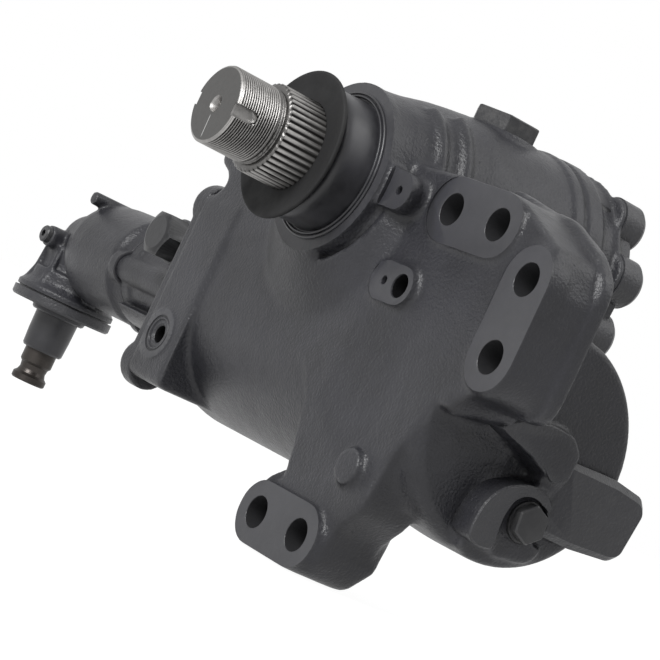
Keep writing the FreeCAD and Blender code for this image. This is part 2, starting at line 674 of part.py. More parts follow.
def make_sector_shaft():
    """Output shaft: threaded end, serrations, journals and the five-tooth sector in one forging."""
    profile = [(SHAFT_TIP, 0), (SHAFT_TIP, THREAD_R - 1.6), (SHAFT_TIP + 1.6, THREAD_R),
               (THREAD_END - 1.4, THREAD_R), (THREAD_END - 0.6, THREAD_R - 0.6), (THREAD_END, THREAD_R - 0.6),
               (THREAD_END, SERRATION_R - 2.4), (SERRATION_START, SERRATION_R),
               (SERRATION_END, SERRATION_R), (SERRATION_END + 2, JOURNAL_R - 1),
               (SERRATION_END + 3, JOURNAL_R),
               (SECTOR_START, JOURNAL_R), (SECTOR_START, 39), (SECTOR_STOP, 39),
               (SECTOR_STOP, COVER_JOURNAL_R), (TRUNNION_END - 1, COVER_JOURNAL_R),
               (TRUNNION_END, COVER_JOURNAL_R - 1), (TRUNNION_END, 0)]
    shaft = turned("Y", SHAFT_AXIS, profile)
    pitch_angle = 2 * math.pi / SECTOR_TEETH_FULL
    spread = (SECTOR_TEETH - 1) / 2 * pitch_angle + 0.16
    root_r = SECTOR_PITCH_R - DEDENDUM
    edge = V(root_r * math.sin(spread), SECTOR_START, -root_r * math.cos(spread))
    mirror = V(-edge.x, edge.y, edge.z)
    fan = Part.Face(Part.Wire([Part.Arc(mirror, V(0, SECTOR_START, -root_r), edge).toShape(),
                               Part.makeLine(edge, V(18, SECTOR_START, 12)),
                               Part.makeLine(V(18, SECTOR_START, 12), V(-18, SECTOR_START, 12)),
                               Part.makeLine(V(-18, SECTOR_START, 12), mirror)]))
    pieces = [shaft, fan.extrude(V(0, SECTOR_WIDTH, 0))]
    for k in range(SECTOR_TEETH):
        pieces.append(sector_tooth((k - (SECTOR_TEETH - 1) / 2) * pitch_angle))
    shaft = fused(pieces)
    # Serrations, the two lock slots of the nut, the centre drilling and the slot for the adjuster
    grooves = []
    for k in range(SERRATION_COUNT):
        step = 2 * math.pi / SERRATION_COUNT
        middle = (k + 0.5) * step
        mouth = step * 0.42
        outer = SERRATION_R + 0.6
        root = SERRATION_R - SERRATION_DEPTH
        points = [V(outer * math.sin(middle - mouth), 0, outer * math.cos(middle - mouth)),
                  V(root * math.sin(middle), 0, root * math.cos(middle)),
                  V(outer * math.sin(middle + mouth), 0, outer * math.cos(middle + mouth))]
        points.append(points[0])
        groove = Part.Face(Part.makePolygon(points)).extrude(V(0, SERRATION_END - THREAD_END + 0.5, 0))
        groove.translate(V(0, THREAD_END - 1, 0))
        grooves.append(groove)
    shaft = shaft.cut(Part.makeCompound(grooves))
    slots = [block(THREAD_R - 4.5, THREAD_R + 2, SHAFT_TIP - 1, SHAFT_TIP + 13, -3.5, 3.5),
             block(-THREAD_R - 2, -THREAD_R + 4.5, SHAFT_TIP - 1, SHAFT_TIP + 13, -3.5, 3.5)]
    for slot in slots:
        shaft = shaft.cut(slot)
    drill = turned("Y", SHAFT_AXIS, [(SHAFT_TIP - 1, 0), (SHAFT_TIP - 1, 5), (SHAFT_TIP + 3.5, 2),
                                     (SHAFT_TIP + 9, 2), (SHAFT_TIP + 10, 0)])
    shaft = shaft.cut(drill)
    end = TRUNNION_END
    shaft = shaft.cut(rod("Y", SHAFT_AXIS, 11.3, end - 6, end - 13))
    shaft = shaft.cut(block(-7.3, 7.3, end - 6.5, end + 1, -30, 30))
    shaft = shaft.cut(block(-11.3, 11.3, end - 13, end - 6, 0, 30))
    return shaft.removeSplitter()


def make_needle_bearing(inner, start, end):
    """Drawn-cup bearing: sleeve with turned-in lips."""
    outer = inner + BEARING_WALL - 2 * RUN_FIT
    profile = [(start, inner + RUN_FIT + 1), (start + 2, inner + RUN_FIT), (end - 2, inner + RUN_FIT),
               (end, inner + RUN_FIT + 1), (end, outer - 1), (end - 1, outer), (start + 1, outer),
               (start, outer - 1)]
    return turned("Y", SHAFT_AXIS, profile)


def make_output_seal():
    """Pressure seal pressed in the mouth of the boss, its lip on the journal."""
    near = BOSS_FACE + 4.5
    far = BOSS_FACE + 12.7
    outer = SEAL_BORE_R - 0.1
    return turned("Y", SHAFT_AXIS, [(near, JOURNAL_R + 3), (near, outer), (far, outer), (far, JOURNAL_R + 6),
                                    (far - 5, JOURNAL_R + 5), (far - 2, JOURNAL_R + RUN_FIT),
                                    (far - 4, JOURNAL_R + RUN_FIT), (far - 7, JOURNAL_R + 3)])


def make_retaining_ring():
    ring = tube("Y", SHAFT_AXIS, JOURNAL_R + 4, SEAL_BORE_R - 0.1, BOSS_FACE + 2.6, BOSS_FACE + 4.4)
    return ring.cut(block(-5, 5, BOSS_FACE, BOSS_FACE + 6, -50, 0))


def make_dust_seal():
    """Rubber boot: flared lip against the arm, waist, and a wide skirt on the boss."""
    face = BOSS_FACE - 0.3
    grip = SERRATION_R + RUN_FIT
    return turned("Y", SHAFT_AXIS, [(face, 48.6), (face - 1.2, 48.6), (face - 1.8, 46.8), (face - 3.2, 46.8),
                                    (face - 3.8, 48.0), (face - 16, 47.8), (face - 22, 46.2),
                                    (face - 27, 41.2),
                                    (face - 30, 38.9), (face - 33, 42), (face - 34.6, 46.2),
                                    (face - 35.6, 46.2),
                                    (face - 35.2, 41.5), (face - 33.2, 34.5), (face - 31.2, grip),
                                    (face - 29.2, grip),
                                    (face - 27, 36), (face - 23.5, 39.5), (face - 18, 42), (face, 42)])


# Side cover group

def make_side_cover():
    """Cover with a deep hub that carries the trunnion bearing and the lash adjuster."""
    face = COVER_FACE + COVER_T
    flange = cover_shape(COVER_FACE, face, COVER_FACE + COVER_LOBE_T)
    hub = turned("Y", SHAFT_AXIS, [(SECTOR_STOP + 4, 0), (SECTOR_STOP + 4, 40), (SECTOR_STOP + 8, 43),
                                   (COVER_FACE - 16, 48),
                                   (COVER_FACE - 12, CHAMBER_R - 0.1), (COVER_FACE + 1, CHAMBER_R - 0.1),
                                   (face, 50), (face + 7, 43), (face + 11, 35), (face + 11, 17),
                                   (face + 17, 15),
                                   (face + 17, 0)])
    shapes = [flange, hub]
    limit = turned("Y", SHAFT_AXIS, [(COVER_FACE, 0), (COVER_FACE, 60), (face, 58), (face + 8, 44),
                                     (face + 8, 0)])
    for k in range(6):
        rib = block(16, 56, face - 4, face + 7, -2.5, 2.5)
        rib.rotate(V(0, 0, 0), V(0, 1, 0), 30 + 60 * k)
        shapes.append(rib.common(limit))
    cover = fused(shapes)
    cuts = [turned("Y", SHAFT_AXIS, [(SECTOR_STOP, 0), (SECTOR_STOP, COVER_JOURNAL_R + BEARING_WALL),
                                     (TRUNNION_END + 2, COVER_JOURNAL_R + BEARING_WALL),
                                     (TRUNNION_END + 2, 8 + THREAD_FIT),
                                     (face + 30, 8 + THREAD_FIT), (face + 30, 0)]),
            tube("Y", SHAFT_AXIS, CHAMBER_R - 3, CHAMBER_R + 1, COVER_FACE - 7, COVER_FACE - 3.6)]
    for x, z in cover_bolt_places():
        cuts.append(turned("Y", (x, z), [(COVER_FACE - 1, 0), (COVER_FACE - 1, COVER_BOLT_R + 0.5),
                                         (face, COVER_BOLT_R + 0.5), (face, 11.5), (face + 20, 11.5),
                                         (face + 20, 0)]))
    return cover.cut(cuts).removeSplitter()


def make_side_cover_seal():
    return tube("Y", SHAFT_AXIS, CHAMBER_R - 2.9, CHAMBER_R - 0.15, COVER_FACE - 6.9, COVER_FACE - 3.7)


def make_side_cover_bolts():
    bolt = hex_bolt(COVER_BOLT_R, COVER_T + COVER_BOLT_GRIP, 17, 9.5, 11, 2)
    place = [aimed(bolt, V(x, COVER_FACE + COVER_T, z), V(0, 1, 0)) for x, z in cover_bolt_places()]
    return Part.makeCompound(place)


def make_adjuster_screw():
    """Lash adjuster: button head in the shaft's slot, stem through the cover."""
    end = TRUNNION_END
    tip = COVER_FACE + COVER_T + 34
    screw = turned("Y", SHAFT_AXIS, [(end - 12.7, 0), (end - 12.7, 11), (end - 6.8, 11), (end - 6.8, 7),
                                     (end + 1, 7), (end + 1, 8), (tip - 1, 8), (tip, 7), (tip, 0)])
    return screw.cut(hexagon_socket(V(0, tip - 7, 0), V(0, 1, 0), 7, 10))


def hexagon_socket(point, direction, across_flats, depth):
    return aimed(hexagon(across_flats, 0, depth, False), point, direction)


def make_adjuster_lock_nut():
    nut = hex_nut(8 + THREAD_FIT, 24, 9)
    return aimed(nut, V(0, COVER_FACE + COVER_T + 17, 0), V(0, 1, 0))


# Piston group

def make_rack_piston():
    piston = turned("X", PISTON_AXIS, [(PISTON_TAIL, 0), (PISTON_TAIL, PISTON_R - 2),
                                       (PISTON_TAIL + 2, PISTON_R),
                                       (PISTON_NOSE - 2, PISTON_R), (PISTON_NOSE, PISTON_R - 2),
                                       (PISTON_NOSE, 0)])
    last = (SECTOR_TEETH - 1) / 2
    gaps = [rack_gap(k * RACK_PITCH) for k in (-1, 0, 1)]
    gaps.append(rack_gap(last * RACK_PITCH, 1))
    gaps.append(rack_gap(-last * RACK_PITCH, -1))
    top = RACK_HEIGHT + ADDENDUM
    gaps.append(block(-RACK_CUT, RACK_CUT, PISTON_Y - BORE_R, PISTON_Y + BORE_R, PISTON_Z + top,
                      PISTON_Z + BORE_R + 9))
    piston = piston.cut(gaps)
    bore_end = WORM_TIP + TRAVEL + 4
    piston = piston.cut(rod("X", PISTON_AXIS, BALL_TRACK_R + 0.7, PISTON_TAIL - 1, bore_end))
    for groove in ball_groove(circuit_start(), circuit_end(), BALL_R + 0.15):
        piston = piston.cut(groove)
    ring_seat = tube("X", PISTON_AXIS, PISTON_R - 4, PISTON_R + 1, PISTON_TAIL + 10, PISTON_TAIL + 16)
    piston = piston.cut(ring_seat)
    piston = piston.cut(rod("X", (STOP_Y, STOP_Z), 5.1, PISTON_TAIL - 1, PISTON_NOSE + 1))
    piston = piston.cut(guide_shape(0.1, PISTON_R + 2))
    return piston.removeSplitter()


def circuit_start():
    return PISTON_TAIL + CIRCUIT_SETBACK


def circuit_end():
    return circuit_start() + BALL_TURNS * WORM_LEAD


def guide_shape(grow, outer):
    """Oblong block that leads the balls back under the piston."""
    return stadium("Z", (circuit_start() + 4, PISTON_Y), (circuit_end() - 4, PISTON_Y), 9 + grow,
                   PISTON_Z - outer, PISTON_Z - BALL_TRACK_R - BALL_R - 1.5 + grow)


def make_ball_return_guide():
    guide = guide_shape(0.0, PISTON_R - 3.0)
    for x in (circuit_start() + 4, circuit_end() - 4):
        guide = guide.cut(rod("Z", (x, PISTON_Y), BALL_R + 0.4, PISTON_Z - 40, PISTON_Z))
    return guide.cut(rod("X", (PISTON_Y, PISTON_Z - 36),
                         BALL_R + 0.4, circuit_start() + 4, circuit_end() - 4))


def make_recirculating_balls():
    balls = []
    sweep = 2 * math.pi * BALL_TURNS
    for k in range(BALL_COUNT):
        angle = sweep * (k + 0.5) / BALL_COUNT
        x = circuit_start() + WORM_LEAD * angle / (2 * math.pi)
        turn = 2 * math.pi * x / WORM_LEAD
        centre = V(x, PISTON_Y + BALL_TRACK_R * math.sin(turn), PISTON_Z - BALL_TRACK_R * math.cos(turn))
        balls.append(Part.makeSphere(BALL_R, centre))
    return Part.makeCompound(balls)


def make_piston_ring():
    return tube("X", PISTON_AXIS, PISTON_R - 3.9, BORE_R - 0.05, PISTON_TAIL + 10.1, PISTON_TAIL + 15.9)


def make_poppet_valve():
    """Unloading valve: a rod through the piston with a tip at each end."""
    reach = 5.0
    return turned("X", (STOP_Y, STOP_Z), [(PISTON_TAIL - reach, 0), (PISTON_TAIL - reach, 3),
                                          (PISTON_TAIL + 8, 3), (PISTON_TAIL + 12, 5), (PISTON_NOSE - 12, 5),
                                          (PISTON_NOSE - 8, 3), (PISTON_NOSE + reach, 3),
                                          (PISTON_NOSE + reach, 0)])


# Worm and rotary valve

def make_worm_shaft():
    """Ball worm, thrust collar and valve sleeve on one axis."""
    worm_r = BALL_TRACK_R - 0.6
    near = VALVE_FLANGE_BACK
    thread_end = WORM_GROOVE_START - 12
    profile = [(WORM_TIP, 0), (WORM_TIP, worm_r - 2), (WORM_TIP - 2, worm_r), (thread_end, worm_r),
               (thread_end - 4, 15),
               (near, 15), (near, COLLAR_R), (near - 6, COLLAR_R), (near - 6, 17), (near - 12, 17),
               (near - 12, SLEEVE_R),
               (near - 88, SLEEVE_R), (near - 88, 0)]
    worm = turned("X", PISTON_AXIS, profile)
    cuts = ball_groove(WORM_GROOVE_START, WORM_TIP - 5, BALL_R + 0.15)
    for groove in cuts:
        worm = worm.cut(groove)
    worm = worm.cut(rod("X", PISTON_AXIS, SPOOL_R + RUN_FIT, near - 16, near - 89))
    worm = worm.cut(rod("X", PISTON_AXIS, 4.2, near - 90, thread_end - 1))
    for k in range(4):
        x = near - 22 - 18 * k
        worm = worm.cut(tube("X", PISTON_AXIS, SLEEVE_R - 2, SLEEVE_R + 1, x - 3, x))
    return worm.removeSplitter()


def make_sleeve_seal_rings():
    near = VALVE_FLANGE_BACK
    rings = []
    for k in range(4):
        x = near - 22 - 18 * k
        rings.append(tube("X", PISTON_AXIS, SLEEVE_R - 1.9, SLEEVE_R + 0.05, x - 2.9, x - 0.1))
    return Part.makeCompound(rings)


def make_spool_shaft():
    """Valve spool inside the sleeve, running on as the stub that carries the driven bevel gear."""
    near = VALVE_FLANGE_BACK
    spool = turned("X", PISTON_AXIS, [(near - 18, 0), (near - 18, SPOOL_R), (MITRE_X + 34, SPOOL_R),
                                      (MITRE_X + 34, 9), (MITRE_X + 26, 9), (MITRE_X + 26, 0)])
    spool = spool.cut(rod("X", PISTON_AXIS, 4.2, near - 17, MITRE_X + 40))
    for k in range(6):
        slot = block(near - 74, near - 34, PISTON_Y - 2, PISTON_Y + 2, PISTON_Z + SPOOL_R - 2,
                     PISTON_Z + SPOOL_R + 1)
        slot.rotate(V(0, PISTON_Y, PISTON_Z), V(1, 0, 0), 60 * k)
        spool = spool.cut(slot)
    return spool


def make_torsion_bar():
    start = WORM_GROOVE_START - 14
    return turned("X", PISTON_AXIS, [(start, 0), (start, 4.1), (start - 18, 4.1), (start - 24, 3.2),
                                     (MITRE_X + 62, 3.2),
                                     (MITRE_X + 56, 4.1), (MITRE_X + 42, 4.1), (MITRE_X + 42, 0)])


def make_thrust_bearings():
    """Two needle thrust bearings, one on each side of the worm collar."""
    near = VALVE_FLANGE_BACK
    first = tube("X", PISTON_AXIS, 15 + RUN_FIT, 28.7, near + SEAT_FIT, near + 6)
    second = tube("X", PISTON_AXIS, 17 + RUN_FIT, 28.7, near - 12 + 0.1, near - 6 - SEAT_FIT)
    return Part.makeCompound([first, second])


def make_bearing_retainer():
    """Threaded ring that holds the worm in the valve housing."""
    near = VALVE_FLANGE_BACK
    ring = tube("X", PISTON_AXIS, 19, 28.9, near + 6.1, near + 17)
    for k in range(4):
        notch = block(near + 13, near + 20, PISTON_Y - 3, PISTON_Y + 3, PISTON_Z + 23, PISTON_Z + 32)
        notch.rotate(V(0, PISTON_Y, PISTON_Z), V(1, 0, 0), 45 + 90 * k)
        ring = ring.cut(notch)
    return ring


# Valve housing group

def long_screw_places():
    places = []
    for k in range(4):
        turn = math.radians(6 + 90 * k)
        places.append((PISTON_Y + LONG_SCREW_CIRCLE * math.cos(turn), PISTON_Z + LONG_SCREW_CIRCLE * math.sin(turn)))
    return places


def make_valve_housing():
    """Body of the rotary valve: lobed mounting plate, barrel, ports and the tubes for the long screws."""
    near = VALVE_FLANGE_BACK
    w = VALVE_BOLT_DY + 13
    h = VALVE_BOLT_DZ + 5
    y = PISTON_Y
    z = PISTON_Z
    plate = prism("X", [(y - w, z - h, 14), (y, z - h + 10, 60), (y + w, z - h, 14), (y + w, z + h, 14),
                        (y, z + h - 10, 60), (y - w, z + h, 14)], VALVE_FACE, near)
    lugs = [turned("X", place, [(VALVE_FACE, 0), (VALVE_FACE, VALVE_LOBE_R),
                                (VALVE_FACE - VALVE_LOBE_T + 4, VALVE_LOBE_R),
                                (VALVE_FACE - VALVE_LOBE_T, VALVE_LOBE_R - 3.5),
                                (VALVE_FACE - VALVE_LOBE_T, 0)])
            for place in valve_bolt_places()]
    spigot = rod("X", PISTON_AXIS, BORE_R - 0.1, VALVE_FACE, VALVE_FACE + 8)
    body = turned("X", PISTON_AXIS, [(near + 1, 0), (near + 1, 46), (near - 4, 42), (near - 12, 37),
                                     (near - 22, VALVE_BODY_R), (VALVE_END + 14, VALVE_BODY_R),
                                     (VALVE_END + 10, 35), (VALVE_END, 35), (VALVE_END, 0)])
    foot = rod("X", PISTON_AXIS, VALVE_FOOT_R, VALVE_END, near + 1)
    foot = foot.common(block(VALVE_END - 1, near + 2, 0, 150, z - 60, z - 28))
    shapes = [plate, spigot, body, foot] + lugs
    for place in long_screw_places():
        shapes.append(rod("X", place, LONG_SCREW_TUBE_R, VALVE_END, near - BOSS_SETBACK))
    shapes.append(rod("Y", (-205, -79.2), 17, 18, PISTON_Y))
    shapes.append(rod("Z", (-240.4, PISTON_Y + 21), 16.5, PISTON_Z + 4, -64.2))
    shapes.append(rod("Y", (-253.4, -131.2), 14, PISTON_Y, 120))
    housing = fused(shapes)
    cuts = [turned("X", PISTON_AXIS, [(VALVE_FACE + 9, 0), (VALVE_FACE + 9, 29), (near - 12, 29),
                                      (near - 12, SLEEVE_R + RUN_FIT),
                                      (near - 92, SLEEVE_R + RUN_FIT), (near - 92, 18), (VALVE_END - 1, 18),
                                      (VALVE_END - 1, 0)]),
            rod("Y", (-205, -79.2), 10.6, 17, 38),
            rod("Z", (-240.4, PISTON_Y + 21), 10.6, -88.2, -63.2),
            rod("Y", (-253.4, -131.2), 8.1, 98, 121),
            rod("X", (STOP_Y, STOP_Z), STOP_POCKET_R, VALVE_FACE + 2, VALVE_FACE + 9)]
    for place in valve_bolt_places():
        cuts.append(turned("X", place, [(VALVE_FACE + 1, 0), (VALVE_FACE + 1, 8.6), (near, 8.6), (near, 13.2),
                                        (near - 30, 13.2), (near - 30, 0)]))
    for place in long_screw_places():
        seat = near - BOSS_SETBACK
        cuts.append(turned("X", place, [(VALVE_END - 1, 0), (VALVE_END - 1, LONG_SCREW_R + SEAT_FIT),
                                        (seat, LONG_SCREW_R + SEAT_FIT), (seat, LONG_SCREW_HEAD_R + 0.5),
                                        (seat + 10, LONG_SCREW_HEAD_R + 0.5), (seat + 10, 0)]))
    housing = housing.cut(cuts)
    return housing.removeSplitter()


def make_valve_housing_bolts():
    """Low-headed bolts that sit in the lobes of the valve housing."""
    bolt = hex_bolt(8.0, VALVE_PLATE_T + 32, 20, 8, 12.6, 2)
    place = [aimed(bolt, V(VALVE_FLANGE_BACK, y, z), V(-1, 0, 0)) for y, z in valve_bolt_places()]
    return Part.makeCompound(place)


def port_plug(across_flats, height, thread_r, length):
    return hex_bolt(thread_r, length, across_flats, height, thread_r + 5, 3)


def make_pressure_port_plug():
    return aimed(port_plug(30, 17, 10.5, 18), V(-205, 18, -79.2), V(0, -1, 0))


def make_return_port_plug():
    return aimed(port_plug(27, 16, 10.5, 18), V(-240.4, PISTON_Y + 21, -64.2), V(0, 0, 1))


def make_relief_valve():
    return aimed(port_plug(19, 12, 8.0, 18), V(-253.4, 120, -131.2), V(0, 1, 0))


def make_long_screws():
    """Socket-head screws through the valve housing's corner tubes into the mitre housing."""
    seat = VALVE_FLANGE_BACK - BOSS_SETBACK
    length = seat - VALVE_END + 14
    shank = turned("Z", (0, 0), [(0.5, 0), (0.5, LONG_SCREW_R), (1 - length, LONG_SCREW_R),
                                 (-length, LONG_SCREW_R - 1), (-length, 0)])
    head = turned("Z", (0, 0), [(0, 0), (0, LONG_SCREW_HEAD_R), (7.2, LONG_SCREW_HEAD_R),
                                (8, LONG_SCREW_HEAD_R - 0.8), (8, 0)])
    screw = fused([shank, head]).cut(hexagon(6, 4, 9, False))
    return Part.makeCompound([aimed(screw, V(seat, y, z), V(1, 0, 0)) for y, z in long_screw_places()])


def make_spool_seal():
    return turned("X", PISTON_AXIS, [(VALVE_END + 10, SPOOL_R + 4), (VALVE_END + 10, 17.9),
                                     (VALVE_END + 1, 17.9),
                                     (VALVE_END + 1, SPOOL_R + 3), (VALVE_END + 5, SPOOL_R + RUN_FIT),
                                     (VALVE_END + 7, SPOOL_R + RUN_FIT)])


# Mitre box group

def make_mitre_housing():
    """Round drum around the stub shaft, with a ribbed neck turned down to the input shaft."""
    drum = turned("X", PISTON_AXIS, [(VALVE_END, 0), (VALVE_END, 35), (VALVE_END - 9, 37),
                                     (VALVE_END - 14, DRUM_R),
                                     (DRUM_END + 26, DRUM_R), (DRUM_END + 9, DRUM_R - 1),
                                     (DRUM_END + 8, DRUM_R - 2),
                                     (DRUM_END + 3, DRUM_R - 2.5), (DRUM_END, DRUM_R - 5),
                                     (DRUM_END - 2, DRUM_R - 11),
                                     (DRUM_END - 14, 28), (MITRE_X - 4, 24), (MITRE_X - 14, 18),
                                     (MITRE_X - 16, 0)])
    joint = CAP_JOINT + 1
    neck = turned("Z", MITRE_AXIS, [(PISTON_Z + 6, 0), (PISTON_Z + 4, 14), (PISTON_Z - 7.5, 22),
                                    (PISTON_Z - 9.5, 28),
                                    (joint + 16.5, 29), (joint + 9.5, 34), (joint + 5.5, CAP_R - 2),
                                    (joint + 4.5, CAP_R - 0.5),
                                    (joint, CAP_R - 0.5), (joint, 0)])
    shapes = [drum, neck]
    for place in long_screw_places():
        shapes.append(rod("X", place, 13, VALVE_END - 10, VALVE_END))
        shapes.append(rod("X", place, 10.5, VALVE_END - 26, VALVE_END))
    for k in range(8):
        rib = prism("Y", [(MITRE_X + 20, PISTON_Z - 8.5), (MITRE_X + 31.5, PISTON_Z - 8.5, 3),
                          (MITRE_X + 33, joint + 18.5, 20),
                          (MITRE_X + 38, joint + 3.5),
                          (MITRE_X + 20, joint + 3.5)], PISTON_Y - 2.5, PISTON_Y + 2.5)
        rib.rotate(V(MITRE_X, PISTON_Y, 0), V(0, 0, 1), 22.5 + 45 * k)
        shapes.append(rib)
    gusset = prism("Y", [(MITRE_X + 10, PISTON_Z - 15.5), (MITRE_X + 52, PISTON_Z - 15.5),
                         (MITRE_X + 48, joint + 11.5, 6),
                         (MITRE_X + 30, joint + 4.5)], PISTON_Y - 5, PISTON_Y + 5)
    shapes.append(gusset)
    shapes.append(rod("Y", (-377.4, -72.2), 5.2, 36, 84))
    shapes.append(rod("Y", (MITRE_X + 1, PISTON_Z - 5.5), 8.5, 33, PISTON_Y))
    housing = fused(shapes)
    cuts = [turned("X", PISTON_AXIS, [(VALVE_END + 1, 0), (VALVE_END + 1, 20), (MITRE_X + 59, 20),
                                      (MITRE_X + 59, 24),
                                      (MITRE_X + 35, 24), (MITRE_X + 17, 24.6), (MITRE_X + 4, 13),
                                      (MITRE_X + 4, 0)]),
            turned("Z", MITRE_AXIS, [(PISTON_Z - 4, 0), (PISTON_Z - 4, 13), (PISTON_Z - 17, 24.6),
                                     (joint - 1, 24.6), (joint - 1, 0)]),
            rod("Y", (MITRE_X + 1, PISTON_Z - 5.5), 5.1, 32, 46)]
    for place in long_screw_places():
        cuts.append(rod("X", place, LONG_SCREW_R + THREAD_FIT, VALVE_END + 1, VALVE_END - 16))
    for x, y in input_screw_places():
        cuts.append(rod("Z", (x, y), 2.6, joint - 1, joint + 9))
    return housing.cut(cuts).removeSplitter()


def make_driven_bevel_gear():
    gear = bevel_gear(0.0, 9.0 + 0.02, 34.0)
    gear = aimed(gear, V(MITRE_X, PISTON_Y, PISTON_Z), V(-1, 0, 0))
    return gear


def make_input_bevel_gear():
    gear = bevel_gear(math.pi / BEVEL_TEETH, 9.0 + 0.02, 30.0)
    gear.translate(V(MITRE_X, PISTON_Y, PISTON_Z))
    return gear


def make_stub_bearing():
    return tube("X", PISTON_AXIS, SPOOL_R + RUN_FIT, 23.9, MITRE_X + 35, MITRE_X + 49)


def make_input_bearing():
    return tube("Z", MITRE_AXIS, STUB_R + RUN_FIT, 24.5, CAP_JOINT + 1.5, PISTON_Z - 32)


def make_input_shaft():
    """Input stub: gear seat, journal, clamp groove and serrated collar."""
    end = INPUT_END
    return turned("Z", MITRE_AXIS, [(PISTON_Z - 16, 0), (PISTON_Z - 16, 9), (PISTON_Z - 30, 9),
                                    (PISTON_Z - 30, STUB_R),
                                    (end + 16, STUB_R), (end + 14, 11), (end + 10, 10.4), (end + 7, 11.5),
                                    (end + 5, 13.6),
                                    (end + 1, 13.6), (end, 12.6), (end, 0)])


def input_screw_places():
    places = []
    for k in range(4):
        turn = math.radians(45 + 90 * k)
        places.append((MITRE_X + 32.5 * math.cos(turn), PISTON_Y + 32.5 * math.sin(turn)))
    return places


def make_input_cover():
    """Round cap under the neck with the seal nose and sunk screws."""
    face = CAP_JOINT
    cap = turned("Z", MITRE_AXIS, [(face, 0), (face, CAP_R + 0.5), (face - 6, CAP_R + 0.5),
                                   (face - 7.5, CAP_R - 1), (face - 7.5, 25),
                                   (face - 8, 22), (face - 10.5, 21.3), (face - 11.5, 20), (face - 11.5, 0)])
    lip = tube("Z", MITRE_AXIS, 17, 24.4, face, face + 1.4)
    cap = fused([cap, lip])
    cuts = [turned("Z", MITRE_AXIS, [(face + 3, 0), (face + 3, 18), (face - 8.5, 18),
                                     (face - 8.5, STUB_R + 0.3),
                                     (face - 15, STUB_R + 0.3), (face - 15, 0)])]
    for x, y in input_screw_places():
        cuts.append(turned("Z", (x, y), [(face + 1, 0), (face + 1, 3.4), (face - 3, 3.4), (face - 3, 5.4),
                                         (face - 9, 5.4), (face - 9, 0)]))
    return cap.cut(cuts).removeSplitter()


def make_input_cover_gasket():
    ring = tube("Z", MITRE_AXIS, 24.6, CAP_R - 2.5, CAP_JOINT, CAP_JOINT + 1)
    cuts = [rod("Z", (x, y), 3.4, CAP_JOINT - 1, CAP_JOINT + 2) for x, y in input_screw_places()]
    return ring.cut(cuts)


def make_input_cover_screws():
    screw = hex_bolt(2.5, 10, 8, 4.0, 4.6, 1)
    place = [aimed(screw, V(x, y, CAP_JOINT - 3), V(0, 0, -1)) for x, y in input_screw_places()]
    return Part.makeCompound(place)


def make_input_seal():
    top = CAP_JOINT - 1
    return turned("Z", MITRE_AXIS, [(top - 7.4, 17.9), (top, 17.9), (top, STUB_R + 3),
                                    (top - 2.5, STUB_R + RUN_FIT),
                                    (top - 4.5, STUB_R + RUN_FIT), (top - 7.4, STUB_R + 2)])


def make_input_boot():
    """Rubber sleeve over the input shaft below the cap."""
    top = CAP_JOINT - 11.8
    return turned("Z", MITRE_AXIS, [(top, STUB_R + 0.05), (top, 17.2), (top - 15, 16.9), (top - 27, 16.2),
                                    (top - 28.5, 15), (top - 28.5, STUB_R + 0.05)])


def make_grease_plug():
    """Round plug in the small boss on the front of the mitre box."""
    plug = turned("Z", (0, 0), [(-12, 0), (-12, 4), (-11, 5), (0, 5), (0, 6.6), (3.4, 6.6), (4.4, 5.6),
                                (4.4, 0)])
    plug = plug.cut(hexagon(5, 1.5, 6, False))
    return aimed(plug, V(MITRE_X + 1, 33, PISTON_Z - 5.5), V(0, -1, 0))


# Plugs on the gear housing

def make_top_plug():
    plug = fused([hexagon(37.7, 0, 10.8, False),
                  turned("Z", (0, 0), [(1, 0), (1, 13), (-20, 13), (-22, 11), (-22, 0)])])
    return aimed(plug, V(0, 85.1, 69.0), V(0, 0, 1))


def make_stop_screw():
    seat = DOME_FACE + LUG_RISE - 2
    bolt = hex_bolt(STOP_R, seat - BORE_END - 1, 17, 10, 9.5, 1)
    return aimed(bolt, V(seat, STOP_Y, STOP_Z), V(1, 0, 0))


def make_stop_screw_washer():
    seat = DOME_FACE + LUG_RISE - 4
    return tube("X", (STOP_Y, STOP_Z), STOP_R + 0.2, 12.8, seat, seat + 2)


nodes["gear_housing"] = make_gear_housing()
nodes["sector_shaft"] = make_sector_shaft()
nodes["output_bearing"] = make_needle_bearing(JOURNAL_R, BOSS_FACE + 16.5, SECTOR_START - 6)
nodes["cover_bearing"] = make_needle_bearing(COVER_JOURNAL_R, SECTOR_STOP + 6, TRUNNION_END - 16)
nodes["output_seal"] = make_output_seal()
nodes["retaining_ring"] = make_retaining_ring()
nodes["dust_seal"] = make_dust_seal()
nodes["side_cover"] = make_side_cover()
nodes["side_cover_seal"] = make_side_cover_seal()
nodes["side_cover_bolts"] = make_side_cover_bolts()
nodes["adjuster_screw"] = make_adjuster_screw()
nodes["adjuster_lock_nut"] = make_adjuster_lock_nut()
nodes["rack_piston"] = make_rack_piston()
nodes["piston_ring"] = make_piston_ring()
nodes["ball_return_guide"] = make_ball_return_guide()
nodes["recirculating_balls"] = make_recirculating_balls()
nodes["poppet_valve"] = make_poppet_valve()
nodes["worm_shaft"] = make_worm_shaft()
nodes["sleeve_seal_rings"] = make_sleeve_seal_rings()
nodes["spool_shaft"] = make_spool_shaft()
nodes["torsion_bar"] = make_torsion_bar()
nodes["thrust_bearings"] = make_thrust_bearings()
nodes["bearing_retainer"] = make_bearing_retainer()
nodes["valve_housing"] = make_valve_housing()
nodes["valve_housing_bolts"] = make_valve_housing_bolts()
nodes["pressure_port_plug"] = make_pressure_port_plug()
nodes["return_port_plug"] = make_return_port_plug()
nodes["relief_valve"] = make_relief_valve()
nodes["mitre_housing_screws"] = make_long_screws()
nodes["spool_seal"] = make_spool_seal()
